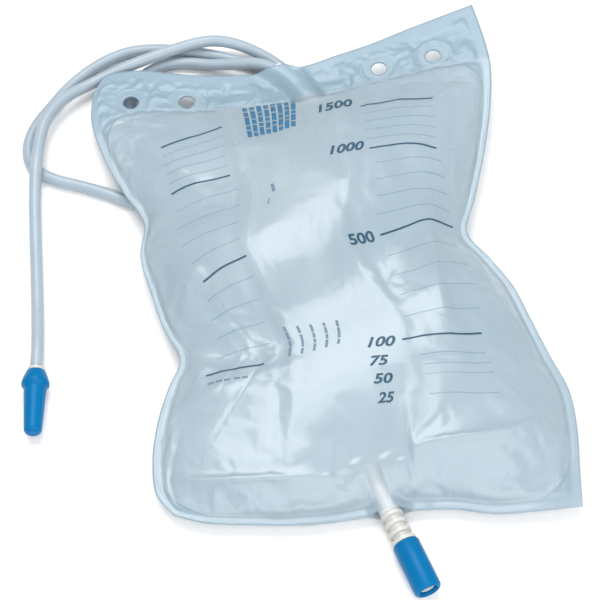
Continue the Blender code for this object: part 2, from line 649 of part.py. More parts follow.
def make_outlet(materials):
    ribs_end, sleeve_start, stop, sleeve_end = stem_layout()
    hollow_pipe("outlet_stub", outlet_axis(), STUB_R, STUB_WALL, materials["clear"])

    shank_r = STUB_R - STUB_WALL - GAP
    rib_core_r = STEM_R + 0.8 * MM
    groove = 2 * SEAL_R + 2 * GAP
    chamber_r = SLEEVE_R - SLEEVE_WALL
    collar_r = chamber_r - GAP
    groove_r = collar_r - 2 * SEAL_R
    lip = 0.9 * MM
    seal_at = stop + lip + groove / 2
    window = seal_at + groove / 2 + lip + 0.8 * MM
    window_length = 3.4 * MM
    head = window + window_length + 0.8 * MM
    head_groove = sleeve_end - THROAT / 2
    head_groove_r = HEAD_R - 0.9 * MM
    head_end = head_groove + groove / 2 + lip

    outer = [
        (0.0, head_end),
        (HEAD_R - 0.6 * MM, head_end),
        (HEAD_R, head_end - 0.5 * MM),
        (HEAD_R, head_groove + groove / 2),
        (head_groove_r, head_groove + groove / 2),
        (head_groove_r, head_groove - groove / 2),
        (HEAD_R, head_groove - groove / 2),
        (HEAD_R, head),
        (STEM_R, head - 0.6 * MM),
        (STEM_R, seal_at + groove / 2 + lip),
        (collar_r, seal_at + groove / 2 + lip),
        (collar_r, seal_at + groove / 2),
        (groove_r, seal_at + groove / 2),
        (groove_r, seal_at - groove / 2),
        (collar_r, seal_at - groove / 2),
        (collar_r, stop),
        (STEM_R, stop),
        (STEM_R, ribs_end + RIB),
    ]
    for k in range(RIBS, -1, -1):
        rib = ribs_end - (RIBS - k) * RIB_PITCH
        radius = RIB_R if k < RIBS else SLEEVE_R - 0.6 * MM
        outer += [
            (radius, rib + RIB),
            (radius, rib),
            (rib_core_r if k else shank_r, rib),
        ]
        if k:
            outer.append((rib_core_r, rib - RIB_PITCH + RIB))
    outer += [
        (shank_r, -SHANK_INSIDE + 0.6 * MM),
        (shank_r - 0.4 * MM, -SHANK_INSIDE),
        (STEM_BORE_R, -SHANK_INSIDE),
        (STEM_BORE_R, window + window_length),
        (0.0, window + window_length),
    ]
    start = outlet_point(0.0)
    stem = turned("outlet_valve_stem", outer, start, OUTLET_DIRECTION, materials["white"])
    bpy.ops.mesh.primitive_cube_add(size=1.0)
    slot = make_cutter(bpy.context.object)
    slot.name = "outlet_window"
    slot.scale = (2.6 * MM, 4 * STEM_R, window_length)
    slot.location = outlet_point(window + window_length / 2)
    slot.rotation_euler = stem.rotation_euler
    cut(stem, slot, "window")

    for name, place, inner in (
        ("outlet_seal_upper", seal_at, groove_r),
        ("outlet_seal_lower", head_groove, head_groove_r),
    ):
        middle = inner + GAP / 2 + SEAL_R
        ring = []
        for k in range(RING_SIDES):
            turn = -2 * math.pi * k / RING_SIDES
            ring.append((middle + SEAL_R * math.cos(turn), SEAL_R * math.sin(turn)))
        turned(name, ring, outlet_point(place), OUTLET_DIRECTION, materials["seal"])

    throat_r = head_groove_r + GAP / 2 + 2 * SEAL_R + GAP
    end = SLEEVE_LENGTH
    rim = 1.6 * MM
    sleeve = [
        (throat_r + 0.9 * MM, end),
        (SLEEVE_R - rim, end),
        (SLEEVE_R - 0.3 * rim, end - 0.35 * rim),
        (SLEEVE_R, end - rim),
        (SLEEVE_R, 0.8 * MM),
        (SLEEVE_R - 0.5 * MM, 0.0),
        (STEM_R + GAP, 0.0),
        (STEM_R + GAP, END_WALL),
        (chamber_r, END_WALL),
        (chamber_r, end - THROAT - 1.2 * MM),
        (throat_r, end - THROAT),
        (throat_r, end - 1.0 * MM),
    ]
    turned(
        "outlet_valve_sleeve", sleeve, outlet_point(sleeve_start), OUTLET_DIRECTION, materials["blue"]
    )


def make_materials():
    return {
        "front film": make_material("front_film", (0.50, 0.62, 0.70), 0.32, alpha=0.8),
        "back film": make_material("back_film", (0.48, 0.60, 0.68), 0.32, alpha=0.8),
        "leaf": make_material("valve_leaf", (0.56, 0.68, 0.75), 0.35, alpha=0.8),
        "clear": make_material("clear_plastic", (0.66, 0.74, 0.78), 0.25, alpha=0.8),
        "tube": make_material("tube", (0.46, 0.56, 0.64), 0.3),
        "white": make_material("white_plastic", (0.75, 0.77, 0.76), 0.35),
        "blue": make_material("blue_plastic", (0.002, 0.20, 0.50), 0.35),
        "seal": make_material("seal_rubber", (0.05, 0.06, 0.07), 0.6),
    }


def main():
    clear_scene()
    make_collection(COLLECTION)
    make_collection(CUTTERS, hidden=True)
    materials = make_materials()
    make_films(materials)
    make_valve(materials)
    make_port(materials)
    make_tube(materials)
    make_connector(materials)
    make_cap(materials)
    make_outlet(materials)


main()
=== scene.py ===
# %% [markdown]
# # A urine drainage bag
# The bag lies on its back on a pale table, lightly filled with air, and its inlet tube lies in
# loops, partly under it. The CAD model gives every piece its place. This lesson makes the films,
# the tube, the print and the small mouldings again with finer shapes, and gives each a finish.

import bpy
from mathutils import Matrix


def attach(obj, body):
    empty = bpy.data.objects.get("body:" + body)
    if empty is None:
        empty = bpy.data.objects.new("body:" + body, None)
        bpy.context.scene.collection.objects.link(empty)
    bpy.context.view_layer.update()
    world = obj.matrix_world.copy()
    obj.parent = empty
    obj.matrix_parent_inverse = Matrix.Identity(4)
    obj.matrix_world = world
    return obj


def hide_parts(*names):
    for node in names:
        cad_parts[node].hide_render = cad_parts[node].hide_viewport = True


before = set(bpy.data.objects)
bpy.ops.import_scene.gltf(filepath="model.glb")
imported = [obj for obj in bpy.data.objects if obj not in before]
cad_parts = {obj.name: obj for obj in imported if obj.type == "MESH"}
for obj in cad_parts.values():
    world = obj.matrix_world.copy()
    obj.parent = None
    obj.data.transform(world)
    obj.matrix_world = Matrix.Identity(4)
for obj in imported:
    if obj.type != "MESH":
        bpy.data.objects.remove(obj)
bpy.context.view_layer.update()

# %% Tools
import math

import bpy
import numpy as np
from mathutils import Vector

MM = 0.001
BAG = "bag"
CAP_BODY = "inlet_cap"
SLEEVE_BODY = "outlet_sleeve"


def from_bag(azimuth, elevation):
    """The direction from the bag to a camera or a light, by two angles in degrees."""
    a, e = math.radians(azimuth), math.radians(elevation)
    return Vector((math.sin(a) * math.cos(e), -math.cos(a) * math.cos(e), math.sin(e)))


def facing(direction):
    """The rotation that turns an object's z axis to the direction."""
    return direction.to_track_quat("Z", "Y").to_euler()


def points_of(thing):
    points = np.empty(len(thing.data.vertices) * 3)
    thing.data.vertices.foreach_get("co", points)
    return points.reshape(-1, 3)


def set_points(thing, points):
    thing.data.vertices.foreach_set("co", np.asarray(points, float).ravel())
    thing.data.update()


def pick(thing):
    """Make an object the only selected one, and the active one."""
    bpy.ops.object.select_all(action="DESELECT")
    bpy.context.view_layer.objects.active = thing
    thing.select_set(True)


def apply_all(thing):
    pick(thing)
    for modifier in list(thing.modifiers):
        bpy.ops.object.modifier_apply(modifier=modifier.name)


def thicken(thing, thickness, outwards):
    solid = thing.modifiers.new("thickness", "SOLIDIFY")
    solid.thickness = thickness
    solid.offset = 1.0 if outwards else -1.0
    solid.use_rim = True
    apply_all(thing)


def cut_out(thing, cutter):
    """Cut the cutter's shape out of a piece."""
    cut = thing.modifiers.new("cut", "BOOLEAN")
    cut.operation = "DIFFERENCE"
    cut.solver = "EXACT"
    cut.object = cutter
    apply_all(thing)


# %% [markdown]
# ## Camera
# The photograph looks down on the bag from its foot, a little to the left. A long lens keeps the
# far edge nearly as wide as the near one. The shift puts the bag's middle right of the centre.

# %% Camera
AZIMUTH, ELEVATION = -9.3, 58.0
DISTANCE = 0.95
LENS = 109.4
SHIFT = -0.0583

to_camera = from_bag(AZIMUTH, ELEVATION)
bpy.ops.object.camera_add(location=to_camera * DISTANCE)
camera = bpy.context.object
camera.name = "photo_camera"
camera.rotation_euler = facing(to_camera)
camera.data.lens = LENS
camera.data.shift_x = SHIFT
camera.data.clip_start = 0.01
bpy.context.scene.camera = camera
print("camera at", [round(x, 3) for x in camera.location])

# %% [markdown]
# ## Curves through points
# The tube and the bag's edges are smooth lines through a few given points. Each stretch is
# blended from the straight runs between four neighbours, timed by the roots of their distances.
# Such a curve meets each point without loops, which automatic curve handles don't promise.


# %% A smooth line through points
SPAN_STEPS = 16
BLENDS = (((0, 1), (1, 2), (2, 3)), ((0, 2), (1, 3)), ((1, 2),))  # the knots of each level


def smooth_line(points, count):
    """count points, evenly spaced, on a smooth curve through the points."""
    points = np.asarray(points, float)
    padded = np.vstack([2 * points[0] - points[1], points, 2 * points[-1] - points[-2]])
    fine = []
    for k in range(1, len(padded) - 2):
        four, knots = padded[k - 1 : k + 3], [0.0]
        for a, b in zip(four[:-1], four[1:]):
            knots.append(knots[-1] + np.linalg.norm(b - a) ** 0.5)
        for t in np.linspace(knots[1], knots[2], SPAN_STEPS, endpoint=False):
            level = four
            for blend in BLENDS:
                level = [
                    (a * (knots[j] - t) + b * (t - knots[i])) / (knots[j] - knots[i])
                    for a, b, (i, j) in zip(level[:-1], level[1:], blend)
                ]
            fine.append(level[0])
    fine = np.array(fine + [points[-1]])
    along = np.concatenate([[0.0], np.cumsum(np.linalg.norm(np.diff(fine, axis=0), axis=1))])
    wanted = np.linspace(0.0, along[-1], count)
    return np.stack([np.interp(wanted, along, fine[:, k]) for k in range(fine.shape[1])], axis=1)


def line_length(line):
    return float(np.linalg.norm(np.diff(line, axis=0), axis=1).sum())


# %% [markdown]
# ## The inlet tube
# About a metre of soft tube, 6.5 mm thick. It leaves the collar at the bag's top edge and turns
# left into two loops. Each passes under the bag and comes out again beside the collar, and then the
# tube crosses over itself to its connector. A curve with a round bevel is the usual way to make a
# hose, because the line stays editable and its thickness never changes.

# %% Route of the tube
TUBE_D = 6.5 * MM
PORT_WALL = 1.2 * MM
PORT_LENGTH = 42.0 * MM
PORT_BEND = 50.0 * MM
PORT_START = (7.0 * MM, 107.0 * MM)
PORT_HEIGHTS = (14.3 * MM, 15.2 * MM)
TUBE_SEATED = 12.0 * MM
SEATED_SAMPLES, TUBE_SAMPLES = 400, 620
AXIS_POINTS = 11
CAP_HEIGHT = 7.15 * MM
TUBE_END = Vector((-156.0 * MM, -20.0 * MM, CAP_HEIGHT))
TUBE_DIRECTION = Vector((-1.0, -8.0, 0.0)).normalized()
TUBE_ROUTE = (
    (-14.8, 149, 14.6), (-21, 153, 13), (-28.5, 156, 10.5), (-36.5, 159, 7.8), (-45, 162.2, 5.4),
    (-54, 166, 3.9), (-63.5, 167.8, 3.4), (-73, 166.7, 3.4), (-81.5, 162.4, 3.4), (-88, 155, 3.4),
    (-92, 145, 3.4), (-94.5, 133, 3.4), (-95, 119, 3.4), (-91.5, 103, 3.4), (-80, 88.5, 3.4),
    (-60, 80, 3.4), (-38, 82, 3.4), (-21.5, 93, 3.4), (-12.5, 109, 3.4), (-8.2, 126, 3.4),
    (-7, 140, 3.4), (-9.8, 148.6, 3.4), (-15.6, 155.2, 3.4), (-22.9, 160.7, 3.4), (-33, 166, 3.4),
    (-43.7, 170.8, 3.4), (-54.6, 175, 3.4), (-66.2, 178.2, 3.4), (-76.8, 180, 3.4),
    (-87, 180.3, 3.4), (-98, 177.6, 3.4), (-108.5, 172.5, 3.4), (-117.5, 166.3, 3.4),
    (-127, 157.5, 3.4), (-136, 147, 3.4), (-144, 137, 3.4), (-148.8, 127, 3.4),
    (-150.2, 115.5, 3.4), (-146, 105, 3.4), (-136.5, 97.6, 3.4), (-124.4, 91.7, 3.4),
    (-111.6, 84.9, 3.4), (-98.9, 76.9, 3.4), (-82, 69.5, 3.4), (-60, 66, 3.4), (-35, 68.5, 3.4),
    (-14, 79, 3.4), (-1.5, 98, 3.4), (1.9, 120, 3.4), (1.6, 140, 3.4), (-2, 150.5, 3.4),
    (-8.6, 159.2, 3.9), (-19, 167.4, 6.2), (-30, 172.6, 8.8), (-41, 174.8, 10.5),
    (-51.5, 174.4, 10.7), (-63, 172.1, 10.6), (-74.4, 169, 10.6), (-84.1, 166.3, 10.4),
    (-93.9, 163.8, 9.2), (-103.6, 161, 7.6), (-113.2, 157, 7.4), (-124.5, 150.3, 9),
    (-133.4, 141.9, 10.3), (-139.6, 131.5, 10.6), (-143.3, 119, 10.6), (-145.8, 106, 10.7),
    (-148.3, 88, 8.6), (-150.2, 66, 4.8), (-151.6, 42, 3.5), (-153, 16, 4.3),
)


def port_axis():
    """The collar's centre line: it starts under the header and bends left to its mouth."""
    points = []
    for share in np.linspace(0.0, 1.0, AXIS_POINTS):
        turn = PORT_LENGTH / PORT_BEND * share
        x = PORT_START[0] - PORT_BEND + PORT_BEND * math.cos(turn)
        y = PORT_START[1] + PORT_BEND * math.sin(turn)
        points.append((x, y, PORT_HEIGHTS[0] + (PORT_HEIGHTS[1] - PORT_HEIGHTS[0]) * share))
    return np.array(points)


PORT_AXIS = port_axis()
seated = smooth_line(PORT_AXIS, SEATED_SAMPLES)
first = round((1 - TUBE_SEATED / PORT_LENGTH) * (SEATED_SAMPLES - 1))
route = [seated[first], seated[(first + SEATED_SAMPLES) // 2], seated[-1]]
route += [np.array(point) * MM for point in TUBE_ROUTE]
route += [np.array(TUBE_END - TUBE_DIRECTION * 2 * TUBE_D), np.array(TUBE_END)]
tube_line = smooth_line(np.array(route), TUBE_SAMPLES)

# %% The tube itself
TUBE_ROUNDNESS = 6


def hose(name, line, radius, roundness):
    """A curve along a line, with a round bevel."""
    curve = bpy.data.curves.new(name, "CURVE")
    curve.dimensions = "3D"
    curve.bevel_depth = radius
    curve.bevel_resolution = roundness
    spline = curve.splines.new("POLY")
    spline.points.add(len(line) - 1)
    for place, point in zip(spline.points, line):
        place.co = (*point, 1.0)
    spline.use_smooth = True
    thing = bpy.data.objects.new(name, curve)
    bpy.context.scene.collection.objects.link(thing)
    return thing


tube = hose("tube", tube_line, TUBE_D / 2, TUBE_ROUNDNESS)
tube.data.use_fill_caps = True

# %% [markdown]
# ## The shape of the bag
# Two flat films are welded to each other round the rim, and air between them lifts the front one.
# The rim is given by its four edges. A surface blended from them spans the rim, and the front and
# back film stand off from that surface by how full the bag is at each place.

# %% Edges of the bag
LEFT_EDGE = (
    (-97, -113, 8.5), (-104, -101, 8.5), (-104, -84, 9), (-99, -62, 9), (-91, -43, 9.5),
    (-84, -29, 10), (-90, -10, 11), (-94, 12, 11.5), (-97, 35, 12), (-93, 56, 12),
    (-101, 75, 12.5), (-110, 102, 12.5), (-114, 128, 12.5), (-111, 147, 12),
)
RIGHT_EDGE = (
    (98, -140, 8.5), (101, -122, 8.5), (105, -99, 9), (106, -77, 9), (101, -56, 9),
    (96, -34, 10), (91, -13, 11), (82, 6, 12), (74, 22, 12.5), (82, 42, 13.5),
    (93, 70, 16), (102, 98, 19), (107, 122, 22), (107, 141, 24), (105, 165, 25),
)
BOTTOM_EDGE = (
    (-97, -113, 8.5), (-84, -119, 8.5), (-60, -124, 8), (-32, -128, 7.5), (2, -128, 7.1),
    (14, -128, 7.1), (36, -131, 7.5), (56, -137, 8), (76, -139, 8.5), (98, -140, 8.5),
)
TOP_EDGE = (
    (-111, 147, 12), (-103, 157, 12.5), (-86, 158, 13), (-56, 149, 14), (-24, 143, 15.5),
    (2, 144, 16), (22, 147, 17), (44, 151, 18.5), (66, 157, 20), (105, 165, 25),
)
EDGE_SAMPLES = 400
LEFT, RIGHT, BOTTOM, TOP = (
    smooth_line(np.array(edge) * MM, EDGE_SAMPLES)
    for edge in (LEFT_EDGE, RIGHT_EDGE, BOTTOM_EDGE, TOP_EDGE)
)
WIDTH = (line_length(TOP) + line_length(BOTTOM)) / 2
HEIGHT = (line_length(LEFT) + line_length(RIGHT)) / 2
print("film", round(WIDTH, 4), "by", round(HEIGHT, 4), "m")

# %% Sizes of films and outlet
FILM = 0.4 * MM
GAP = 0.3 * MM
WELD_GAP = 0.3 * MM
RIM_WELD = 6.0 * MM
HEADER_MIDDLE = 26.0 * MM
HEADER_ENDS = 36.0 * MM
HOLE_R = 4.25 * MM
HOLES = (  # their places from the left edge and from the top edge
    (27.0 * MM, 23.0 * MM), (58.0 * MM, 20.0 * MM), (165.0 * MM, 18.0 * MM), (196.0 * MM, 22.5 * MM),
)
FRONT_SWELL = 29.0 * MM
BACK_SWELL = 17.0 * MM
LOWER_SHARE = 0.86
VALLEY = (0.30, 0.55)
VALLEY_WIDTH = 0.085
VALLEY_DEPTH = 0.30
VALLEY_DIP = (0.7, 1.1)  # share of its depth in the middle, and what its ends have more
CROWN = 0.57
ROUND_ACROSS, ROUND_ALONG = 0.62, 0.5
PULL_FROM, PULL_FADE = 2.4, 4.0  # in radii of the collar or the stub
BULGE_FROM, BULGE_FADE = 0.35, 1.9
PORT_R = TUBE_D / 2 + GAP + PORT_WALL
STUB_R = 5.2 * MM
LEAF = 0.25 * MM
VALVE = (0.335, 0.605)
LEAF_APART = 19.0 * MM
LEAF_RAMP = 26.0 * MM
VALVE_LENGTH = 140.0 * MM
VALVE_TUCK = 4.0 * MM
LEAF_SIDE_FADE, LEAF_TOP_FADE = 0.05, 0.03
OUTLET_TURN = math.radians(14.0)
OUTLET_DIRECTION = Vector((math.sin(OUTLET_TURN), -math.cos(OUTLET_TURN), 0.0))
OUTLET_START = Vector((5.9 * MM, -127.0 * MM, 6.95 * MM))
STUB_SPAN = (-25.0 * MM, 1.5 * MM)
TUBE_BAY = (6.0 * MM, 61.0 * MM)
TUBE_BAY_EDGE = 14.0 * MM
TUBE_ROOM = 1.3 * MM
OUTLET_AXIS = np.array([
    OUTLET_START + OUTLET_DIRECTION * float(along) for along in np.linspace(*STUB_SPAN, AXIS_POINTS)
])


# %% Helpers for the shape
def smooth_step(t):
    t = np.clip(t, 0.0, 1.0)
    return t * t * (3.0 - 2.0 * t)


def on_edge(edge, share):
    steps = np.linspace(0.0, 1.0, EDGE_SAMPLES)
    return np.stack([np.interp(share, steps, edge[:, k]) for k in range(3)], axis=-1)


def beside(points, axis):
    """For each point, its distance in plan from the axis, and the axis's height there."""
    distance = np.full(points.shape[:-1], np.inf)
    height = np.zeros(points.shape[:-1])
    for a, b in zip(axis[:-1], axis[1:]):
        run = b - a
        share = np.clip(((points - a)[..., :2] @ run[:2]) / (run[:2] @ run[:2]), 0.0, 1.0)
        foot = a + share[..., None] * run
        gap = np.linalg.norm((points - foot)[..., :2], axis=-1)
        nearer = gap < distance
        distance = np.where(nearer, gap, distance)
        height = np.where(nearer, foot[..., 2], height)
    return distance, height


def lengthened(axis, extra):
    start = axis[0] - extra * (axis[1] - axis[0]) / np.linalg.norm(axis[1] - axis[0])
    end = axis[-1] + extra * (axis[-1] - axis[-2]) / np.linalg.norm(axis[-1] - axis[-2])
    return np.vstack([start, axis, end])


# %% The middle surface and how full the bag is
def middle(u, v):
    """The surface between the films: u runs from left to right and v from bottom to top."""
    bottom, top = on_edge(BOTTOM, u), on_edge(TOP, u)
    left, right = on_edge(LEFT, v), on_edge(RIGHT, v)
    u, v = u[..., None], v[..., None]
    corners = (1 - v) * ((1 - u) * LEFT[0] + u * RIGHT[0]) + v * ((1 - u) * LEFT[-1] + u * RIGHT[-1])
    points = (1 - v) * bottom + v * top + (1 - u) * left + u * right - corners
    for axis, radius in ((PORT_AXIS, PORT_R), (OUTLET_AXIS, STUB_R)):
        distance, height = beside(points, axis)
        pull = 1.0 - smooth_step((distance - PULL_FROM * radius) / (PULL_FADE * radius))
        points[..., 2] += pull * (height - points[..., 2])
    return points


def header_line(u):
    """Lower line of the header weld, as a share of the height: highest at the inlet."""
    return 1.0 - (HEADER_MIDDLE + (HEADER_ENDS - HEADER_MIDDLE) * (2 * u - 1) ** 2) / HEIGHT


def fullness(u, v):
    """How full the bag is at a place, from 0 at the welds to about 1 at the crown."""
    rim_u, rim_v = RIM_WELD / WIDTH, RIM_WELD / HEIGHT
    across = np.clip((u - rim_u) / (1 - 2 * rim_u), 0.0, 1.0) ** (math.log(0.5) / math.log(CROWN))
    along = np.clip((v - rim_v) / (header_line(u) - rim_v), 0.0, 1.0)
    full = (4 * across * (1 - across)) ** ROUND_ACROSS * (4 * along * (1 - along)) ** ROUND_ALONG
    valley = VALLEY[0] + (VALLEY[1] - VALLEY[0]) * u
    depth = VALLEY_DEPTH * (VALLEY_DIP[0] + VALLEY_DIP[1] * (2 * u - 1) ** 2)
    dip = depth * np.exp(-(((v - valley) / VALLEY_WIDTH) ** 2))
    share = LOWER_SHARE + (1 - LOWER_SHARE) * smooth_step((v - valley) / (2 * VALLEY_WIDTH) + 0.5)
    return full * share * (1 - dip)


def pipe_bulge(points):
    """How far a film stands off to pass over the collar and the outlet stub."""
    bulge = np.zeros(points.shape[:-1])
    for axis, radius, room in ((PORT_AXIS, PORT_R, 2 * GAP), (OUTLET_AXIS, STUB_R, GAP / 2)):
        distance, _ = beside(points, lengthened(axis, radius))
        share = np.clip((distance - BULGE_FROM * radius) / (BULGE_FADE * radius), 0.0, 1.0)
        bulge = np.maximum(bulge, (radius + room) * 0.5 * (1 + np.cos(math.pi * share)))
    return bulge


def leaf_room(u, v):
    """Extra room between the films where the header weld holds the valve's leaves."""
    left = smooth_step((u - VALVE[0]) / LEAF_SIDE_FADE + 1)
    right = smooth_step((VALVE[1] - u) / LEAF_SIDE_FADE + 1)
    depth = 1.0 - smooth_step((v - header_line(u) - VALVE_TUCK / HEIGHT) / LEAF_TOP_FADE)
    return (LEAF + GAP) * (left * right) * depth


def join(full, bulge):
    return (full**4 + bulge**4) ** 0.25


# %% [markdown]
# ## Folds
# Soft film that is blown up lightly never swells evenly: it breaks into a few soft folds, with a
# thin sharp crease on some of them. Each is a line on the flat film, a height, and how far it
# reaches to its left and right. Lines on the flat film stay right when the bag changes shape.

# %% Lines of the folds
FOLDS = (
    (3.6, 9, 18, (
        (0.90, 0.575), (0.873, 0.516), (0.816, 0.454), (0.773, 0.394), (0.743, 0.329), (0.735, 0.25),
    )),
    (2.6, 15, 9, (
        (0.60, 0.10), (0.705, 0.104), (0.789, 0.116), (0.859, 0.126), (0.911, 0.141), (0.95, 0.18),
    )),
    (2.2, 15, 9, ((0.05, 0.09), (0.116, 0.08), (0.207, 0.075), (0.32, 0.074), (0.42, 0.066))),
    (2.2, 12, 14, ((0.03, 0.30), (0.10, 0.27), (0.20, 0.235))),
    (2.0, 12, 12, ((0.02, 0.37), (0.09, 0.43), (0.14, 0.51))),
    (2.0, 12, 12, ((0.98, 0.50), (0.93, 0.40), (0.91, 0.29))),
    (2.0, 13, 13, ((0.91, 0.84), (0.87, 0.74), (0.86, 0.63))),
    (1.8, 12, 12, ((0.09, 0.84), (0.13, 0.74), (0.12, 0.62))),
)
CREASES = (
    (1.7, 4, 9, ((0.885, 0.60), (0.873, 0.516), (0.816, 0.454), (0.773, 0.394), (0.743, 0.329))),
    (3.3, 4.5, 4, (
        (0.60, 0.094), (0.705, 0.104), (0.789, 0.116), (0.859, 0.126), (0.911, 0.141), (0.94, 0.17),
    )),
    (2.2, 3.5, 3.5, ((0.05, 0.086), (0.116, 0.078), (0.207, 0.074), (0.32, 0.074), (0.44, 0.063))),
    (1.1, 4, 5, ((0.03, 0.315), (0.09, 0.30), (0.17, 0.275))),
    (1.1, 4, 5, ((0.03, 0.345), (0.11, 0.355), (0.20, 0.375))),
    (0.9, 4, 5, ((0.03, 0.38), (0.08, 0.42), (0.12, 0.47))),
    (1.1, 4, 5, ((0.97, 0.53), (0.92, 0.49), (0.885, 0.42))),
    (1.1, 4, 5, ((0.97, 0.50), (0.945, 0.42), (0.94, 0.33))),
    (0.9, 4, 5, ((0.97, 0.57), (0.93, 0.62), (0.91, 0.69))),
    (1.5, 2.2, 2.6, ((0.502, 0.03), (0.487, 0.055), (0.472, 0.09))),
    (1.3, 2.5, 3, ((0.465, 0.028), (0.43, 0.045), (0.39, 0.062))),
    (1.5, 2.6, 2.2, ((0.572, 0.03), (0.558, 0.055), (0.538, 0.09))),
    (1.2, 2.5, 3, ((0.60, 0.028), (0.588, 0.05), (0.578, 0.08))),
)
FOLD_FADE = 12.0 * MM
CREASE_FADE = 5.0 * MM
CREST = 0.8 * MM
FOLD_SAMPLES = 12


def on_film_lines(lines):
    return [
        (height * MM, left * MM, right * MM, smooth_line(np.array(line) * (WIDTH, HEIGHT), FOLD_SAMPLES))
        for height, left, right, line in lines
    ]


# %% How far the folds lift the film
def line_lift(u, v, lines, sharp):
    """The lift of a set of fold lines: rounded ridges, or sharp ones with a small crest radius."""
    place = np.stack([u * WIDTH, v * HEIGHT], axis=-1)
    lift = np.zeros(np.shape(u))
    for height, left, right, line in lines:
        nearest, reach = np.full(np.shape(u), np.inf), np.ones(np.shape(u))
        at = np.zeros(np.shape(u))
        for k, (a, b) in enumerate(zip(line[:-1], line[1:])):
            run = b - a
            share = np.clip((place - a) @ run / (run @ run), 0.0, 1.0)
            away = place - a - share[..., None] * run
            gap = np.linalg.norm(away, axis=-1)
            on_left = run[0] * away[..., 1] - run[1] * away[..., 0] > 0
            nearer = gap < nearest
            nearest = np.where(nearer, gap, nearest)
            reach = np.where(nearer, np.where(on_left, left, right), reach)
            at = np.where(nearer, (k + share) / (len(line) - 1), at)
        if sharp:
            fall = np.exp(-(np.sqrt(nearest**2 + CREST**2) - CREST) / reach)
        else:
            fall = np.exp(-((nearest / reach) ** 2))
        lift += height * fall * np.sqrt(4 * at * (1 - at))
    return lift


FOLD_LINES, CREASE_LINES = on_film_lines(FOLDS), on_film_lines(CREASES)


def fold_lift(u, v):
    """Folds and creases together. They fade out beside the welds."""
    open_film = np.minimum(np.minimum(u, 1 - u) * WIDTH, v * HEIGHT) - RIM_WELD
    open_film = np.minimum(open_film, (header_line(u) - v) * HEIGHT)
    soft = line_lift(u, v, FOLD_LINES, False) * smooth_step(open_film / FOLD_FADE)
    return soft + line_lift(u, v, CREASE_LINES, True) * smooth_step(open_film / CREASE_FADE)


print(len(FOLDS), "folds and", len(CREASES), "creases")

# %% Faces of the two films
def front_face(u, v):
    """The inner face of the front film."""
    points = middle(u, v)
    rise = join(FRONT_SWELL * fullness(u, v), pipe_bulge(points)) + fold_lift(u, v)
    points[..., 2] += WELD_GAP / 2 + leaf_room(u, v) + rise
    return points


def back_face(u, v):
    """The inner face of the back film. The table flattens it, and the tube holds it up."""
    points = middle(u, v)
    drop = join(BACK_SWELL * fullness(u, v), pipe_bulge(points))
    in_bay = smooth_step((points[..., 1] - TUBE_BAY[1]) / TUBE_BAY_EDGE + 1)
    in_bay = in_bay * smooth_step((TUBE_BAY[0] - points[..., 0]) / TUBE_BAY_EDGE + 1)
    lowest = FILM + in_bay * (TUBE_D + TUBE_ROOM)
    points[..., 2] = np.maximum(points[..., 2] - WELD_GAP / 2 - leaf_room(u, v) - drop, lowest)
    return points


# %% [markdown]
# ## Making a film
# A grid is laid on the surface and thickened. The grid keeps its flat UV map, so that welds, ribs
# and print follow the film wherever it goes.

# %% A grid on a surface
def film_grid(name, columns, rows, face, across=(0.0, 1.0), along=(0.0, 1.0)):
    """A grid of columns by rows cells on face(u, v), with (u, v) kept as its UV map."""
    bpy.ops.mesh.primitive_grid_add(x_subdivisions=columns, y_subdivisions=rows, size=1.0)
    thing = bpy.context.object
    thing.name = thing.data.name = name
    flat = points_of(thing)
    u = across[0] + (across[1] - across[0]) * (flat[:, 0] + 0.5)
    v = along[0] + (along[1] - along[0]) * (flat[:, 1] + 0.5)
    corner = np.empty(len(thing.data.loops), dtype=int)
    thing.data.loops.foreach_get("vertex_index", corner)
    uv_map = thing.data.uv_layers[0]
    uv_map.name = "film"
    uv_map.data.foreach_set("uv", np.stack([u[corner], v[corner]], axis=1).ravel())
    set_points(thing, face(u, v))
    thing.data.shade_smooth()
    return thing, u, v


# %% [markdown]
# ## Puckers from air
# Real film puckers beside its welds, because the weld holds it flat while the air lifts the rest.
# Cloth that is a little too large and held along its welds does the same by itself. Only the fine
# part of its move is kept, so the bag stays the size that the CAD model gives it.

# %% Where the film is held
FRONT_CELLS = (168, 232)
HELD_FADE = 1.5 * MM
HOLE_HELD = 8.5 * MM
PIPE_HELD, PIPE_FADE = 7.0 * MM, 4.0 * MM
HOLE_PLACES = [(left / line_length(TOP), 1.0 - top / HEIGHT) for left, top in HOLES]


def edge_room(u, v):
    """Distance from the nearest edge of the flat film."""
    return np.minimum(np.minimum(u, 1 - u) * WIDTH, np.minimum(v, 1 - v) * HEIGHT)


def held_share(u, v, points):
    """Where the film is welded or lies on a pipe, and can't move: 1 there, 0 in the open film."""
    header = np.abs(v - header_line(u)) * HEIGHT
    held = 1.0 - smooth_step((edge_room(u, v) - RIM_WELD) / HELD_FADE)
    held = np.maximum(held, 1.0 - smooth_step((header - HELD_FADE) / HELD_FADE))
    for hole_u, hole_v in HOLE_PLACES:
        away = np.hypot((u - hole_u) * WIDTH, (v - hole_v) * HEIGHT)
        held = np.maximum(held, 1.0 - smooth_step((away - HOLE_HELD) / HELD_FADE))
    for axis in (PORT_AXIS, OUTLET_AXIS):
        away, _ = beside(points, axis)
        held = np.maximum(held, 1.0 - smooth_step((away - PIPE_HELD) / PIPE_FADE))
    return held


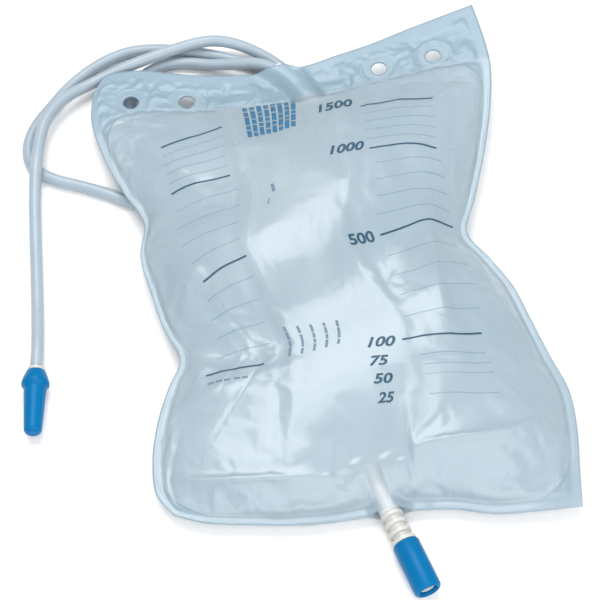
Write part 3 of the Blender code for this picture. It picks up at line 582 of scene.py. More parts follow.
# %% Cloth under pressure
CLOTH = {
    "quality": 5, "mass": 0.05, "air_damping": 4.0, "tension_stiffness": 15.0,
    "compression_stiffness": 15.0, "shear_stiffness": 5.0, "bending_stiffness": 0.05,
    "vertex_group_mass": "held", "shrink_min": -0.02, "use_pressure": True,
    "uniform_pressure_force": 1.0,
}
CLOTH_FRAMES = 15
PUCKER_REACH = 9
PUCKER_CAP = 1.8 * MM
HEADER_PUCKERS = 1.15
OPEN_PUCKERS, WELD_PUCKERS, PUCKER_FADE = 0.3, 0.55, 14.0 * MM


def blurred(grid, reach):
    """The rows and columns of points, each averaged with its neighbours."""
    weights = np.exp(-0.5 * (np.arange(-2 * reach, 2 * reach + 1) / reach) ** 2)
    weights /= weights.sum()
    for axis in (0, 1):
        margin = [(2 * reach, 2 * reach) if k == axis else (0, 0) for k in range(3)]
        wide, size = np.pad(grid, margin, mode="edge"), grid.shape[axis]
        grid = sum(w * np.take(wide, range(k, k + size), axis=axis) for k, w in enumerate(weights))
    return grid


def puckers(thing, cells, held):
    """The fine part of the cloth's move, as rows of points."""
    before = points_of(thing)
    group = thing.vertex_groups.new(name="held")
    for k, weight in enumerate(held):
        if weight > 0.0:
            group.add([k], float(weight), "REPLACE")
    cloth = thing.modifiers.new("air", "CLOTH")
    for key, value in CLOTH.items():
        setattr(cloth.settings, key, value)
    cloth.settings.effector_weights.gravity = 0.0
    cloth.collision_settings.use_collision = False
    cloth.point_cache.frame_start = 1
    cloth.point_cache.frame_end = CLOTH_FRAMES
    for frame_number in range(1, CLOTH_FRAMES + 1):
        bpy.context.scene.frame_set(frame_number)
    apply_all(thing)
    bpy.context.scene.frame_set(1)
    move = (points_of(thing) - before).reshape(cells[1] + 1, cells[0] + 1, 3)
    move -= blurred(move, PUCKER_REACH)
    size = np.linalg.norm(move, axis=2)
    print("puckers up to", round(float(size.max()) / MM, 2), "mm, mean", round(float(size.mean()) / MM, 2))
    move *= np.minimum(1.0, PUCKER_CAP / np.maximum(size, 1e-9))[..., None]
    return move * (1.0 - held.reshape(cells[1] + 1, cells[0] + 1))[..., None]


def liveliness(u, v):
    """Puckers are strongest in the header and beside the welds, and faint in the middle."""
    room = np.minimum(edge_room(u, v) - RIM_WELD, np.abs(header_line(u) - v) * HEIGHT)
    pocket = OPEN_PUCKERS + WELD_PUCKERS * np.exp(-np.maximum(room, 0.0) / PUCKER_FADE)
    return np.where(v > header_line(u), HEADER_PUCKERS, pocket)


# %% Front film
front_film, front_u, front_v = film_grid("front_sheet", *FRONT_CELLS, front_face)
smooth_front = points_of(front_film).reshape(FRONT_CELLS[1] + 1, FRONT_CELLS[0] + 1, 3)
front_held = held_share(front_u, front_v, points_of(front_film))
front_puckers = puckers(front_film, FRONT_CELLS, front_held)
front_puckers *= liveliness(front_u, front_v).reshape(*front_puckers.shape[:2], 1)
front_inner = smooth_front + front_puckers
set_points(front_film, front_inner)
normals = np.empty(front_inner.size)
front_film.data.vertex_normals.foreach_get("vector", normals)
front_normals = normals.reshape(front_inner.shape)
front_outer = front_inner + FILM * front_normals


def flat_place(point):
    """The place on the flat film, in millimetres, that lies over a point."""
    away = np.hypot(smooth_front[..., 0] - point[0], smooth_front[..., 1] - point[1])
    row, column = np.unravel_index(np.argmin(away), away.shape)
    return np.array((column / FRONT_CELLS[0] * WIDTH, row / FRONT_CELLS[1] * HEIGHT)) / MM


def sample(grid, u, v):
    """A value of the grid at any place on the film, from its four neighbours."""
    rows, columns = grid.shape[0] - 1, grid.shape[1] - 1
    x, y = np.clip(u, 0.0, 1.0) * columns, np.clip(v, 0.0, 1.0) * rows
    i, j = np.minimum(x.astype(int), columns - 1), np.minimum(y.astype(int), rows - 1)
    s, t = (x - i)[..., None], (y - j)[..., None]
    low = (1 - s) * grid[j, i] + s * grid[j, i + 1]
    high = (1 - s) * grid[j + 1, i] + s * grid[j + 1, i + 1]
    return (1 - t) * low + t * high


# %% [markdown]
# ## The back film
# It lies on the table and over the tube. It has the same kind of puckers, turned round so that
# they don't repeat those of the front, and it can't go under the table.

# %% Back film
BACK_CELLS = (130, 180)
TABLE_ROOM = 0.2 * MM


def puckered_back(u, v):
    points = back_face(u, v)
    free = (1.0 - held_share(u, v, points))[..., None]
    points = points + sample(front_puckers, 1.0 - u, v) * (1, 1, -1) * free
    lowest = np.minimum(back_face(u, v)[..., 2], FILM + TABLE_ROOM)
    points[..., 2] = np.maximum(points[..., 2], lowest)
    return points


back_film, _, _ = film_grid("back_sheet", *BACK_CELLS, puckered_back)

# %% [markdown]
# ## Hanging holes
# Four holes are punched through the welded header. One cutter made of four round bars goes
# through both films, so the holes stay in line.

# %% Punch the holes
PUNCH_LENGTH, PUNCH_SIDES = 36.0 * MM, 48


def hole_cutter():
    """Four bars, as one piece, longer than both films are thick."""
    bars = []
    for hole_u, hole_v in HOLE_PLACES:
        centre = middle(np.array(hole_u), np.array(hole_v))
        bpy.ops.mesh.primitive_cylinder_add(
            vertices=PUNCH_SIDES, radius=HOLE_R, depth=PUNCH_LENGTH, location=centre
        )
        bars.append(bpy.context.object)
    for bar in bars:
        bar.select_set(True)
    bpy.ops.object.join()
    bpy.ops.object.transform_apply()
    return bpy.context.object


thicken(front_film, FILM, outwards=True)
thicken(back_film, FILM, outwards=False)
punch = hole_cutter()
for film in (front_film, back_film):
    cut_out(film, punch)
bpy.data.objects.remove(punch)
print("front film", len(front_film.data.polygons), "faces, back film", len(back_film.data.polygons))

# %% [markdown]
# ## The non-return valve
# Two thin leaves hang in the bag under the inlet and are welded to each other along their sides.
# They lie close under the front film, where they show through it as a paler strip.

# %% Valve leaves
LEAF_CELLS = (28, 110)
valve_header = float(header_line(np.mean(VALVE)))
VALVE_TOP = valve_header + VALVE_TUCK / HEIGHT
VALVE_BOTTOM = valve_header - VALVE_LENGTH / HEIGHT


def leaf_face(u, v, behind):
    """The upper face of a leaf. The back one goes round the collar, then joins the front one."""
    points = sample(front_inner, u, v)
    rest = middle(u, v)
    front = points[..., 2] - rest[..., 2] - GAP
    if behind:
        held = -(WELD_GAP / 2 + leaf_room(u, v) + pipe_bulge(rest)) + GAP + LEAF
        free = front - LEAF - GAP
        ramp = smooth_step(((header_line(u) - v) * HEIGHT - LEAF_APART) / LEAF_RAMP)
        front = held + ramp * (free - held)
    points[..., 2] = rest[..., 2] + front
    return points


leaves = []
for name, behind in (("front_leaf", False), ("back_leaf", True)):
    leaf, _, _ = film_grid(
        name, *LEAF_CELLS, lambda u, v, b=behind: leaf_face(u, v, b), VALVE, (VALVE_BOTTOM, VALVE_TOP)
    )
    thicken(leaf, LEAF, outwards=False)
    leaves.append(leaf)
print("leaves", [len(leaf.data.polygons) for leaf in leaves])

# %% [markdown]
# ## Print on the film
# The scale is printed in dark ink on the front film: long marks with plain numbers, faint lines
# between them, and two small blocks of dashes. Each is a thin sheet that is cut finely enough to
# follow the film. Print as real geometry stays crisp at any size, which a texture doesn't.

# %% Laying print on the film
INK = 0.05 * MM
MARK_WIDTH, FAINT_WIDTH = 0.95, 0.5
STRIP_SAMPLES = 60
STRIP_CELL, WIDE_STRIP = 1.0, 1.3
FIGURE_CELL = 1.1
FIGURE_WEIGHT, FIGURE_SLANT = 0.025, 0.18


def lay_on_film(thing):
    """Move a flat mesh, drawn in millimetres from the film's lower left corner, onto the film."""
    flat = points_of(thing) * MM
    u, v = flat[:, 0] / WIDTH, flat[:, 1] / HEIGHT
    set_points(thing, sample(front_outer, u, v) + sample(front_normals, u, v) * INK)
    thing.data.shade_smooth()


def set_flat(thing, places):
    set_points(thing, np.column_stack([places, np.zeros(len(places))]))


def strip(line, width):
    """A flat strip along a smooth line through points, in millimetres on the film."""
    line = smooth_line(np.array(line, float), STRIP_SAMPLES)
    cells = max(2, round(line_length(line) / STRIP_CELL))
    across = 2 if width > WIDE_STRIP else 1
    bpy.ops.mesh.primitive_grid_add(x_subdivisions=cells, y_subdivisions=across, size=1.0)
    thing = bpy.context.object
    flat = points_of(thing)
    at, steps = (flat[:, 0] + 0.5) * (STRIP_SAMPLES - 1), np.arange(STRIP_SAMPLES)
    centre, run = (
        np.stack([np.interp(at, steps, values[:, k]) for k in (0, 1)], axis=1)
        for values in (line, np.gradient(line, axis=0))
    )
    run /= np.linalg.norm(run, axis=1)[:, None]
    side = np.stack([-run[:, 1], run[:, 0]], axis=1)
    set_flat(thing, centre + side * (flat[:, 1] * width)[:, None])
    return thing


def number(text, start, end, height):
    """A plain number in slanted figures whose middle line runs from start to end."""
    bpy.ops.object.text_add()
    sign = bpy.context.object
    sign.data.body = text
    sign.data.offset = FIGURE_WEIGHT
    sign.data.shear = FIGURE_SLANT
    sign.data.resolution_u = 4
    bpy.ops.object.convert(target="MESH")
    sign = bpy.context.object
    flat = points_of(sign)[:, :2]
    low, high = flat.min(axis=0), flat.max(axis=0)
    run = np.array(end, float) - start
    length = np.linalg.norm(run)
    set_flat(sign, (flat - (low[0], (low[1] + high[1]) / 2)) / (high - low) * (length, height))
    cuts = [((x, 0.0, 0.0), (1.0, 0.0, 0.0)) for x in np.arange(FIGURE_CELL, length, FIGURE_CELL)]
    for y in np.arange(-height / 2 + FIGURE_CELL, height / 2, FIGURE_CELL):
        cuts.append(((0.0, y, 0.0), (0.0, 1.0, 0.0)))
    bpy.ops.object.mode_set(mode="EDIT")
    for place, normal in cuts:
        bpy.ops.mesh.select_all(action="SELECT")
        bpy.ops.mesh.bisect(plane_co=place, plane_no=normal)
    bpy.ops.object.mode_set(mode="OBJECT")
    flat = points_of(sign)[:, :2]
    run /= length
    set_flat(sign, np.array(start, float) + flat[:, :1] * run + flat[:, 1:] * (-run[1], run[0]))
    return sign


def print_layer(name, shapes):
    """Join flat shapes to one piece, lay it on the film and give it the ink's thickness."""
    pick(shapes[0])
    for shape in shapes:
        shape.select_set(True)
    bpy.ops.object.join()
    layer = bpy.context.object
    layer.name = layer.data.name = name
    lay_on_film(layer)
    thicken(layer, INK, outwards=True)
    print(name, len(layer.data.polygons), "faces")
    return layer


# %% Marks and numbers
RIGHT_MARKS = (
    ((139.2, 245.6), (160.0, 243.4), (178.4, 239.0)),
    ((141.2, 210.2), (163.0, 210.0), (181.8, 203.8)),
    ((152.2, 154.4), (170.0, 158.6), (185.2, 162.0), (202.1, 159.6)),
    ((129.7, 85.9), (152.0, 87.8), (175.5, 89.0)),
)
LEFT_MARKS = (
    ((31.8, 230.9), (48.0, 238.4), (67.5, 246.9)),
    ((23.6, 196.2), (42.0, 202.4), (62.2, 207.9)),
    ((34.7, 136.7), (50.0, 145.4), (67.5, 151.5)),
    ((22.7, 81.6), (38.0, 84.6), (53.5, 86.8)),
)
NUMBERS = (
    ("1500", (117.2, 250.8), (135.4, 250.6), 7.6),
    ("1000", (119.1, 214.8), (138.4, 213.2), 6.6),
    ("500", (130.2, 151.8), (148.0, 153.8), 6.4),
    ("100", (110.9, 88.1), (125.9, 85.9), 6.2),
    ("75", (110.9, 76.8), (120.6, 75.5), 5.8),
    ("50", (111.4, 66.4), (121.1, 65.1), 5.8),
    ("25", (112.4, 55.6), (120.6, 54.7), 5.8),
)
scale_print = print_layer(
    "scale_print",
    [strip(mark, MARK_WIDTH) for mark in RIGHT_MARKS + LEFT_MARKS]
    + [number(text, start, end, height) for text, start, end, height in NUMBERS],
)

# %% Faint lines between the marks
FAINT_COUNT = 4
LOW_FAINT = (76.5, 71.0, 65.5, 54.5)


def between_marks(first, second, count):
    """Lines whose points lie evenly between those of two marks."""
    first, second = (smooth_line(np.array(mark, float), 5) for mark in (first, second))
    return [first + (second - first) * (k + 1) / (count + 1) for k in range(count)]


faint = []
for marks in (RIGHT_MARKS, LEFT_MARKS):
    for first, second in zip(marks[:-1], marks[1:]):
        faint += between_marks(first, second, FAINT_COUNT)
faint += [np.array(((138.0, y), (156.0, y + 1.2), (174.0, y + 1.6))) for y in LOW_FAINT]
faint_print = print_layer("faint_print", [strip(line, FAINT_WIDTH) for line in faint])

# %% Blocks of dashes
DASH_GAP = 0.35
UPPER_CORNERS = ((80.5, 265), (109, 267.5), (78.5, 236), (104.5, 240))
UPPER_DASHES = (
    (1.6, 0.9, 2, 1.2, 0.8), (0.9, 1.7, 1.1, 2.2, 0.7),
    (2.1, 0.8, 1.4, 1, 1.5), (1.2, 1.5, 0.8, 1.9, 1.1),
)
LOWER_CORNERS = ((64.5, 108.5), (101, 106), (63.5, 89.5), (97.5, 92))
LOWER_DASHES = ((2.4, 1.4, 2, 1.2), (1.2, 2.6, 1.6), (2, 1, 1.4, 2.2))
SHORT_LINE = (25, 29.2, 33.4, 38.6, 42.8)
SHORT_HEIGHT, SHORT_SLOPE = 76.2, 0.12
SHORT_LENGTH, SHORT_RISE, SHORT_WIDTH = 3.2, 0.4, 1.2


def dash_block(corners, columns, width, pattern):
    """Upright columns of dashes between four corners: top left, top right, low left, low right."""
    top_left, top_right, low_left, low_right = (np.array(corner, float) for corner in corners)
    dashes = []
    for k in range(columns):
        share = (k + 0.5) / columns
        low = low_left + (low_right - low_left) * share
        run, at = top_left + (top_right - top_left) * share - low, 0.0
        lengths = pattern[k % len(pattern)]
        total = sum(lengths) + DASH_GAP * (len(lengths) - 1)
        for length in lengths:
            dashes.append(strip((low + run * at / total, low + run * (at + length) / total), width))
            at += length + DASH_GAP
    return dashes


def short_dash(x):
    y = SHORT_HEIGHT + SHORT_SLOPE * (x - SHORT_LINE[0])
    return strip(((x, y), (x + SHORT_LENGTH, y + SHORT_RISE)), SHORT_WIDTH)


dash_print = print_layer("dash_print", dash_block(UPPER_CORNERS, 8, 2.2, UPPER_DASHES))
low_dashes = print_layer(
    "low_dashes",
    dash_block(LOWER_CORNERS, 5, 1.5, LOWER_DASHES)
    + [strip(((83.2, 197.5), (83.6, 192)), 1.8), strip(((80.9, 187.5), (81.1, 183.5)), 0.7)]
    + [short_dash(x) for x in SHORT_LINE],
)
prints = [scale_print, faint_print, dash_print, low_dashes]

# %% [markdown]
# ## Turned and moulded pieces
# The cap, the connector and the outlet valve are small round mouldings. Each is a profile that is
# turned round its axis, as on a lathe, and then gets small rounded edges.

# %% A turned piece
TURN_STEPS = 72
MERGE = 0.001 * MM
SHARP_EDGE, SMOOTH_EDGE = math.radians(32), math.radians(40)


def clean_mesh(thing):
    """Merge the points that lie together, and turn every face outwards."""
    pick(thing)
    bpy.ops.object.mode_set(mode="EDIT")
    bpy.ops.mesh.select_all(action="SELECT")
    bpy.ops.mesh.remove_doubles(threshold=MERGE)
    bpy.ops.mesh.normals_make_consistent(inside=False)
    bpy.ops.object.mode_set(mode="OBJECT")


def turned(name, profile, start, direction, rounding=0.25 * MM):
    """A closed profile of (radius, height) turned round the axis from start along direction."""
    mesh = bpy.data.meshes.new(name)
    closed = [(k, (k + 1) % len(profile)) for k in range(len(profile))]
    mesh.from_pydata([(radius, 0.0, height) for radius, height in profile], closed, [])
    thing = bpy.data.objects.new(name, mesh)
    bpy.context.scene.collection.objects.link(thing)
    turn = thing.modifiers.new("turn", "SCREW")
    turn.axis = "Z"
    turn.steps = turn.render_steps = TURN_STEPS
    turn.use_merge_vertices = True
    turn.merge_threshold = MERGE
    apply_all(thing)
    clean_mesh(thing)
    edge = thing.modifiers.new("edges", "BEVEL")
    edge.width = rounding
    edge.segments = 3
    edge.limit_method = "ANGLE"
    edge.angle_limit = SHARP_EDGE
    apply_all(thing)
    thing.location = start
    thing.rotation_euler = facing(direction)
    bpy.ops.object.transform_apply()
    bpy.ops.object.shade_smooth_by_angle(angle=SMOOTH_EDGE)
    print(name, len(thing.data.polygons), "faces")
    return thing


# %% Cap and connector
FLANGE_R, FLANGE = 4.3 * MM, 1.8 * MM
NOZZLE_R, NOZZLE_TIP_R, NOZZLE, NOZZLE_BORE_R = 4.0 * MM, 2.9 * MM, 27.0 * MM, 1.8 * MM
CAP_WALL, CAP_FLARE_R, CAP_FLARE, CAP_LENGTH = 1.3 * MM, 7.0 * MM, 7.0 * MM, 35.0 * MM
CAP_RING, CAP_ROUND, CAP_SAMPLES = 0.8 * MM, 2.4 * MM, 26
CAP_SKIRT = ((2.1, 0.0), (1.7, 1.0), (0.6, 4.0))  # how far inside the flare, and how high
CAP_NECK = ((0.35, 2.2), (0.0, 4.5))  # how far outside the grip, and how high over the flare
nozzle_tip = FLANGE + NOZZLE
connector = turned(
    "tube_connector",
    [
        (NOZZLE_BORE_R, 0.0), (FLANGE_R, 0.0), (FLANGE_R, FLANGE), (NOZZLE_R, FLANGE),
        (NOZZLE_TIP_R, nozzle_tip), (NOZZLE_BORE_R, nozzle_tip),
    ],
    TUBE_END + TUBE_DIRECTION * GAP, TUBE_DIRECTION,
)


def arc(centre, radius, start, end, count):
    """Points of a round corner in a profile, with its angles in degrees."""
    turns = np.radians(np.linspace(start, end, count))
    return [(centre[0] + radius * math.cos(t), centre[1] + radius * math.sin(t)) for t in turns]


def cap_profile():
    """The mouth, the flared ring, the long tapered grip and the rounded end, then the blind bore."""
    fit = NOZZLE_R + GAP
    body = fit + CAP_WALL
    tip = NOZZLE_TIP_R + GAP + CAP_WALL
    flare = [(CAP_FLARE_R - inside * MM, height * MM) for inside, height in CAP_SKIRT]
    flare += [(CAP_FLARE_R, CAP_FLARE - CAP_RING), (CAP_FLARE_R, CAP_FLARE + CAP_RING)]
    flare += [(body + outside * MM, CAP_FLARE + height * MM) for outside, height in CAP_NECK]
    flare = smooth_line(np.array(flare), CAP_SAMPLES)
    end = arc((tip - CAP_ROUND, CAP_LENGTH - CAP_ROUND), CAP_ROUND, 0, 90, 9)
    bottom = NOZZLE + GAP
    profile = [(fit, 0.0)] + [tuple(point) for point in flare] + end
    return profile + [(0.0, CAP_LENGTH), (0.0, bottom), (NOZZLE_TIP_R + GAP, bottom)]


cap = turned(
    "tube_cap", cap_profile(), TUBE_END + TUBE_DIRECTION * (2 * GAP + FLANGE), TUBE_DIRECTION, 0.2 * MM
)

# %% [markdown]
# ## The outlet valve
# A clear stub is welded into the bag's foot. The ribbed white stem is pushed into it, and the blue
# sleeve slides on the stem: pulled down, it uncovers the window in the stem's side.

# %% Outlet valve
STUB_WALL, SHANK_INSIDE, STEM_R, STEM_BORE_R = 1.1 * MM, 10.0 * MM, 3.6 * MM, 2.3 * MM
RIB_R, RIB, RIB_PITCH, RIBS = 5.7 * MM, 2.0 * MM, 4.8 * MM, 3
SLEEVE_R, SLEEVE_LENGTH, SLEEVE_WALL, SLEEVE_TRAVEL = 6.8 * MM, 26.5 * MM, 1.3 * MM, 8.0 * MM
END_WALL, THROAT, HEAD_R, SEAL_R = 3.0 * MM, 7.0 * MM, 3.9 * MM, 0.6 * MM
HEAD_GROOVE, LIP, LAND, CORE = 0.9 * MM, 0.9 * MM, 0.8 * MM, 0.8 * MM
HOLLOW, HOLLOW_RIM, HOLLOW_FLOOR = 2.8 * MM, 1.5 * MM, 1.7 * MM
WINDOW, WINDOW_WIDTH = 3.4 * MM, 2.6 * MM
SLEEVE_NOSE, SLEEVE_MOUTH = 1.8 * MM, 0.9 * MM
CHAMFER, SHANK_CHAMFER, HEAD_SLOPE, LAST_RIB = 0.5 * MM, 0.4 * MM, 0.6 * MM, 0.6 * MM
ribs_end = STUB_SPAN[1] + GAP + RIBS * RIB_PITCH
sleeve_start = ribs_end + RIB + GAP
stem_stop = sleeve_start + END_WALL + SLEEVE_TRAVEL + GAP
sleeve_end = sleeve_start + SLEEVE_LENGTH
groove = 2 * SEAL_R + 2 * GAP
chamber_r = SLEEVE_R - SLEEVE_WALL
seal_at = stem_stop + LIP + groove / 2
window = seal_at + groove / 2 + LIP + LAND
head_groove = sleeve_end - THROAT / 2


def stem_profile():
    """From the closed head, over the grooves and ribs, to the shank, and back along the bore."""
    shank_r, core_r, collar_r = STUB_R - STUB_WALL - GAP, STEM_R + CORE, chamber_r - GAP
    groove_r, head_groove_r = collar_r - 2 * SEAL_R, HEAD_R - HEAD_GROOVE
    head, head_end = window + WINDOW + LAND, head_groove + groove / 2 + LIP
    profile = [
        (0.0, head_end - HOLLOW), (HEAD_R - HOLLOW_FLOOR, head_end - HOLLOW),
        (HEAD_R - HOLLOW_RIM, head_end), (HEAD_R - CHAMFER, head_end), (HEAD_R, head_end - CHAMFER),
        (HEAD_R, head_groove + groove / 2), (head_groove_r, head_groove + groove / 2),
        (head_groove_r, head_groove - groove / 2), (HEAD_R, head_groove - groove / 2),
        (HEAD_R, head), (STEM_R, head - HEAD_SLOPE), (STEM_R, seal_at + groove / 2 + LIP),
        (collar_r, seal_at + groove / 2 + LIP), (collar_r, seal_at + groove / 2),
        (groove_r, seal_at + groove / 2), (groove_r, seal_at - groove / 2),
        (collar_r, seal_at - groove / 2), (collar_r, stem_stop), (STEM_R, stem_stop),
        (STEM_R, ribs_end + RIB),
    ]
    for k in range(RIBS, -1, -1):
        rib = ribs_end - (RIBS - k) * RIB_PITCH
        radius = RIB_R if k < RIBS else SLEEVE_R - LAST_RIB
        profile += [(radius, rib + RIB), (radius, rib), (core_r if k else shank_r, rib)]
        if k:
            profile.append((core_r, rib - RIB_PITCH + RIB))
    return profile + [
        (shank_r, -SHANK_INSIDE + SHANK_CHAMFER), (shank_r - SHANK_CHAMFER, -SHANK_INSIDE),
        (STEM_BORE_R, -SHANK_INSIDE), (STEM_BORE_R, window + WINDOW), (0.0, window + WINDOW),
    ]


def sleeve_profile():
    """The flat end, the round nose, and inside the throat, the chamber and the end wall."""
    throat_r = HEAD_R - HEAD_GROOVE + GAP / 2 + 2 * SEAL_R + GAP
    end = SLEEVE_LENGTH
    return (
        [(STEM_R + GAP, 0.0), (SLEEVE_R - CHAMFER, 0.0), (SLEEVE_R, 0.8 * MM)]
        + arc((SLEEVE_R - SLEEVE_NOSE, end - SLEEVE_NOSE), SLEEVE_NOSE, 0, 90, 8)
        + [
            (throat_r + SLEEVE_MOUTH, end), (throat_r, end - 1.0 * MM), (throat_r, end - THROAT),
            (chamber_r, end - THROAT - 1.2 * MM), (chamber_r, END_WALL), (STEM_R + GAP, END_WALL),
        ]
    )


stem = turned("outlet_stem", stem_profile()[::-1], OUTLET_START, OUTLET_DIRECTION, 0.3 * MM)
sleeve = turned(
    "outlet_sleeve_piece", sleeve_profile(), OUTLET_START + OUTLET_DIRECTION * sleeve_start,
    OUTLET_DIRECTION, 0.2 * MM,
)
bpy.ops.mesh.primitive_cube_add(size=1.0)
slot_cutter = bpy.context.object
slot_cutter.scale = (WINDOW_WIDTH, 4 * STEM_R, WINDOW)
slot_cutter.location = OUTLET_START + OUTLET_DIRECTION * (window + WINDOW / 2)
slot_cutter.rotation_euler = facing(OUTLET_DIRECTION)
cut_out(stem, slot_cutter)
bpy.data.objects.remove(slot_cutter)

# %% [markdown]
# ## Clear pipes
# The inlet collar and the outlet stub are short lengths of clear pipe in the welds. A round curve
# follows the axis, becomes a mesh, and gets its wall.

# %% Collar and stub
PIPE_SAMPLES, PIPE_ROUNDNESS = 40, 12


def pipe(name, axis, radius, wall):
    """A pipe with open ends along an axis."""
    thing = hose(name, smooth_line(np.array(axis), PIPE_SAMPLES), radius, PIPE_ROUNDNESS)
    pick(thing)
    bpy.ops.object.convert(target="MESH")
    thing = bpy.context.object
    clean_mesh(thing)
    thicken(thing, wall, outwards=False)
    bpy.ops.object.shade_smooth_by_angle(angle=SMOOTH_EDGE)
    print(name, len(thing.data.polygons), "faces")
    return thing


collar = pipe("inlet_collar", PORT_AXIS, PORT_R, PORT_WALL)
stub = pipe("outlet_pipe", OUTLET_AXIS, STUB_R, STUB_WALL)

# %% [markdown]
# ## Shader maths
# A material's node tree is easier to read as arithmetic. This small class wraps a socket, and
# each operator adds the Math node that it stands for.


# %% A socket that can be added and multiplied
class Wire:
    """One output socket in a material's node tree."""

    def __init__(self, finish, socket):
        self.finish, self.socket = finish, socket

    def maths(self, operation, first, second=None, **settings):
        return self.finish.add("ShaderNodeMath", {"operation": operation, **settings}, (first, second))

    def __add__(self, other):
        return self.maths("ADD", self, other)

    def __sub__(self, other):
        return self.maths("SUBTRACT", self, other)

    def __mul__(self, other):
        return self.maths("MULTIPLY", self, other)

    def __truediv__(self, other):
        return self.maths("DIVIDE", self, other)

    def __rsub__(self, other):
        return self.maths("SUBTRACT", other, self)

    def __pow__(self, other):
        return self.maths("POWER", self, other)

    def __abs__(self):
        return self.maths("ABSOLUTE", self)

    def least(self, other):
        return self.maths("MINIMUM", self, other)

    def most(self, other):
        return self.maths("MAXIMUM", self, other)

    def clamped(self):
        return self.maths("ADD", self, 0.0, use_clamp=True)


def line_at(distance, place, width):
    """A soft line: 1 where the distance equals the place, and 0 a width away from it."""
    return (1.0 - abs(distance - place) / width).clamped()


class Finish:
    """A material in the making, round its Principled shader."""

    def __init__(self, name, colour, **numbers):
        self.material = bpy.data.materials.new(name)
        self.material.use_nodes = True
        self.tree = self.material.node_tree
        self.shader = self.tree.nodes["Principled BSDF"]
        self.set(Base_Color=colour, **numbers)

    def add(self, kind, settings=None, inputs=(), output=0):
        """A new node, its settings first, then the values and links of its inputs."""
        node = self.tree.nodes.new(kind)
        for key, value in (settings or {}).items():
            setattr(node, key, value)
        pairs = inputs.items() if isinstance(inputs, dict) else enumerate(inputs)
        for key, value in pairs:
            self.feed(node.inputs[key], value)
        return Wire(self, node.outputs[output])

    def feed(self, socket, value):
        if isinstance(value, Wire):
            self.tree.links.new(value.socket, socket)
        elif value is not None:
            if socket.type == "RGBA" and len(value) == 3:
                value = (*value, 1.0)
            socket.default_value = value

    def set(self, **values):
        for name, value in values.items():
            self.feed(self.shader.inputs[name.replace("_", " ")], value)

    def place(self):
        """Object coordinates, in metres."""
        return self.add("ShaderNodeTexCoord", output="Object")

    def on_film(self):
        """The place on the flat film in metres, and its u and its v."""
        uv = self.add("ShaderNodeUVMap", {"uv_map": "film"})
        flat = self.add("ShaderNodeVectorMath", {"operation": "MULTIPLY"}, (uv, (WIDTH, HEIGHT, 1.0)))
        parts = self.tree.nodes.new("ShaderNodeSeparateXYZ")
        self.feed(parts.inputs[0], uv)
        return flat, Wire(self, parts.outputs[0]), Wire(self, parts.outputs[1])

    def noise(self, where, scale, detail=2.0, stretch=(1.0, 1.0, 1.0)):
        where = self.add("ShaderNodeMapping", None, {"Vector": where, "Scale": stretch})
        return self.add("ShaderNodeTexNoise", None, {"Vector": where, "Scale": scale, "Detail": detail})

    def blend(self, share, first, second):
        """A colour between two colours."""
        inputs = {0: share, 6: first, 7: second}
        return self.add("ShaderNodeMix", {"data_type": "RGBA"}, inputs, output=2)

    def bump(self, height):
        """Relief from a height in millimetres."""
        inputs = {"Height": height, "Distance": MM, "Strength": 1.0}
        self.set(Normal=self.add("ShaderNodeBump", None, inputs, "Normal"))


# %% [markdown]
# ## The film's finish
# The film is soft and embossed: fine ribs run up and down, so its gloss is broad and hazy. The
# welds are pressed flat between hot bars, which leaves thin lines beside them, double rings round
# the holes, and rounded corners to the pocket. The welds are tinted darker, with painted shade
# added to darken the header, and the lines and rings get a faint painted highlight. All of it is
# drawn in millimetres on the film's flat UV map.

# %% Welds, rings and stub on the flat film
FLAT_WIDTH, FLAT_HEIGHT = WIDTH / MM, HEIGHT / MM
POCKET_CORNER = 20.0
WELD_EDGE = 0.8
HEADER_EDGE, HEADER_FADE = 2.0, 5.0
STUB_SIDE, STUB_SIDE_FADE = 4.8, 1.5
STUB_TOP, STUB_TOP_FADE = 4.0, 7.0


def pocket_place(u, x, y):
    """How far a place is outside the pocket's welded edge, and above the header's lower line."""
    rim, bend = RIM_WELD / MM, u * 2.0 - 1.0
    header = FLAT_HEIGHT - HEADER_MIDDLE / MM - bend * bend * ((HEADER_ENDS - HEADER_MIDDLE) / MM)
    out_x = abs(x - FLAT_WIDTH / 2) - (FLAT_WIDTH / 2 - rim - POCKET_CORNER)
    out_y = (y - header + POCKET_CORNER).most(rim + POCKET_CORNER - y)
    outside = out_x.most(0.0) * out_x.most(0.0) + out_y.most(0.0) * out_y.most(0.0)
    return outside**0.5 - POCKET_CORNER + out_x.most(out_y).least(0.0), y - header


def from_hole(x, y):
    """Distance from the middle of the nearest hole."""
    nearest = None
    for hole_u, hole_v in HOLE_PLACES:
        away_x, away_y = x - hole_u * FLAT_WIDTH, y - hole_v * FLAT_HEIGHT
        away = away_x * away_x + away_y * away_y
        nearest = nearest.least(away) if nearest else away
    return nearest**0.5


def over_stub(x, y):
    """1 where the outlet stub lies close under the film, and 0 elsewhere."""
    start, end = flat_place(OUTLET_AXIS[0]), flat_place(OUTLET_AXIS[-1])
    run_x, run_y = (float(share) for share in (end - start) / np.linalg.norm(end - start))
    from_x, from_y = x - float(start[0]), y - float(start[1])
    side, along = abs(from_x * run_y - from_y * run_x), from_x * run_x + from_y * run_y
    beside_axis = ((STUB_SIDE - side) / STUB_SIDE_FADE).clamped()
    return beside_axis * ((along - STUB_TOP) / STUB_TOP_FADE).clamped()


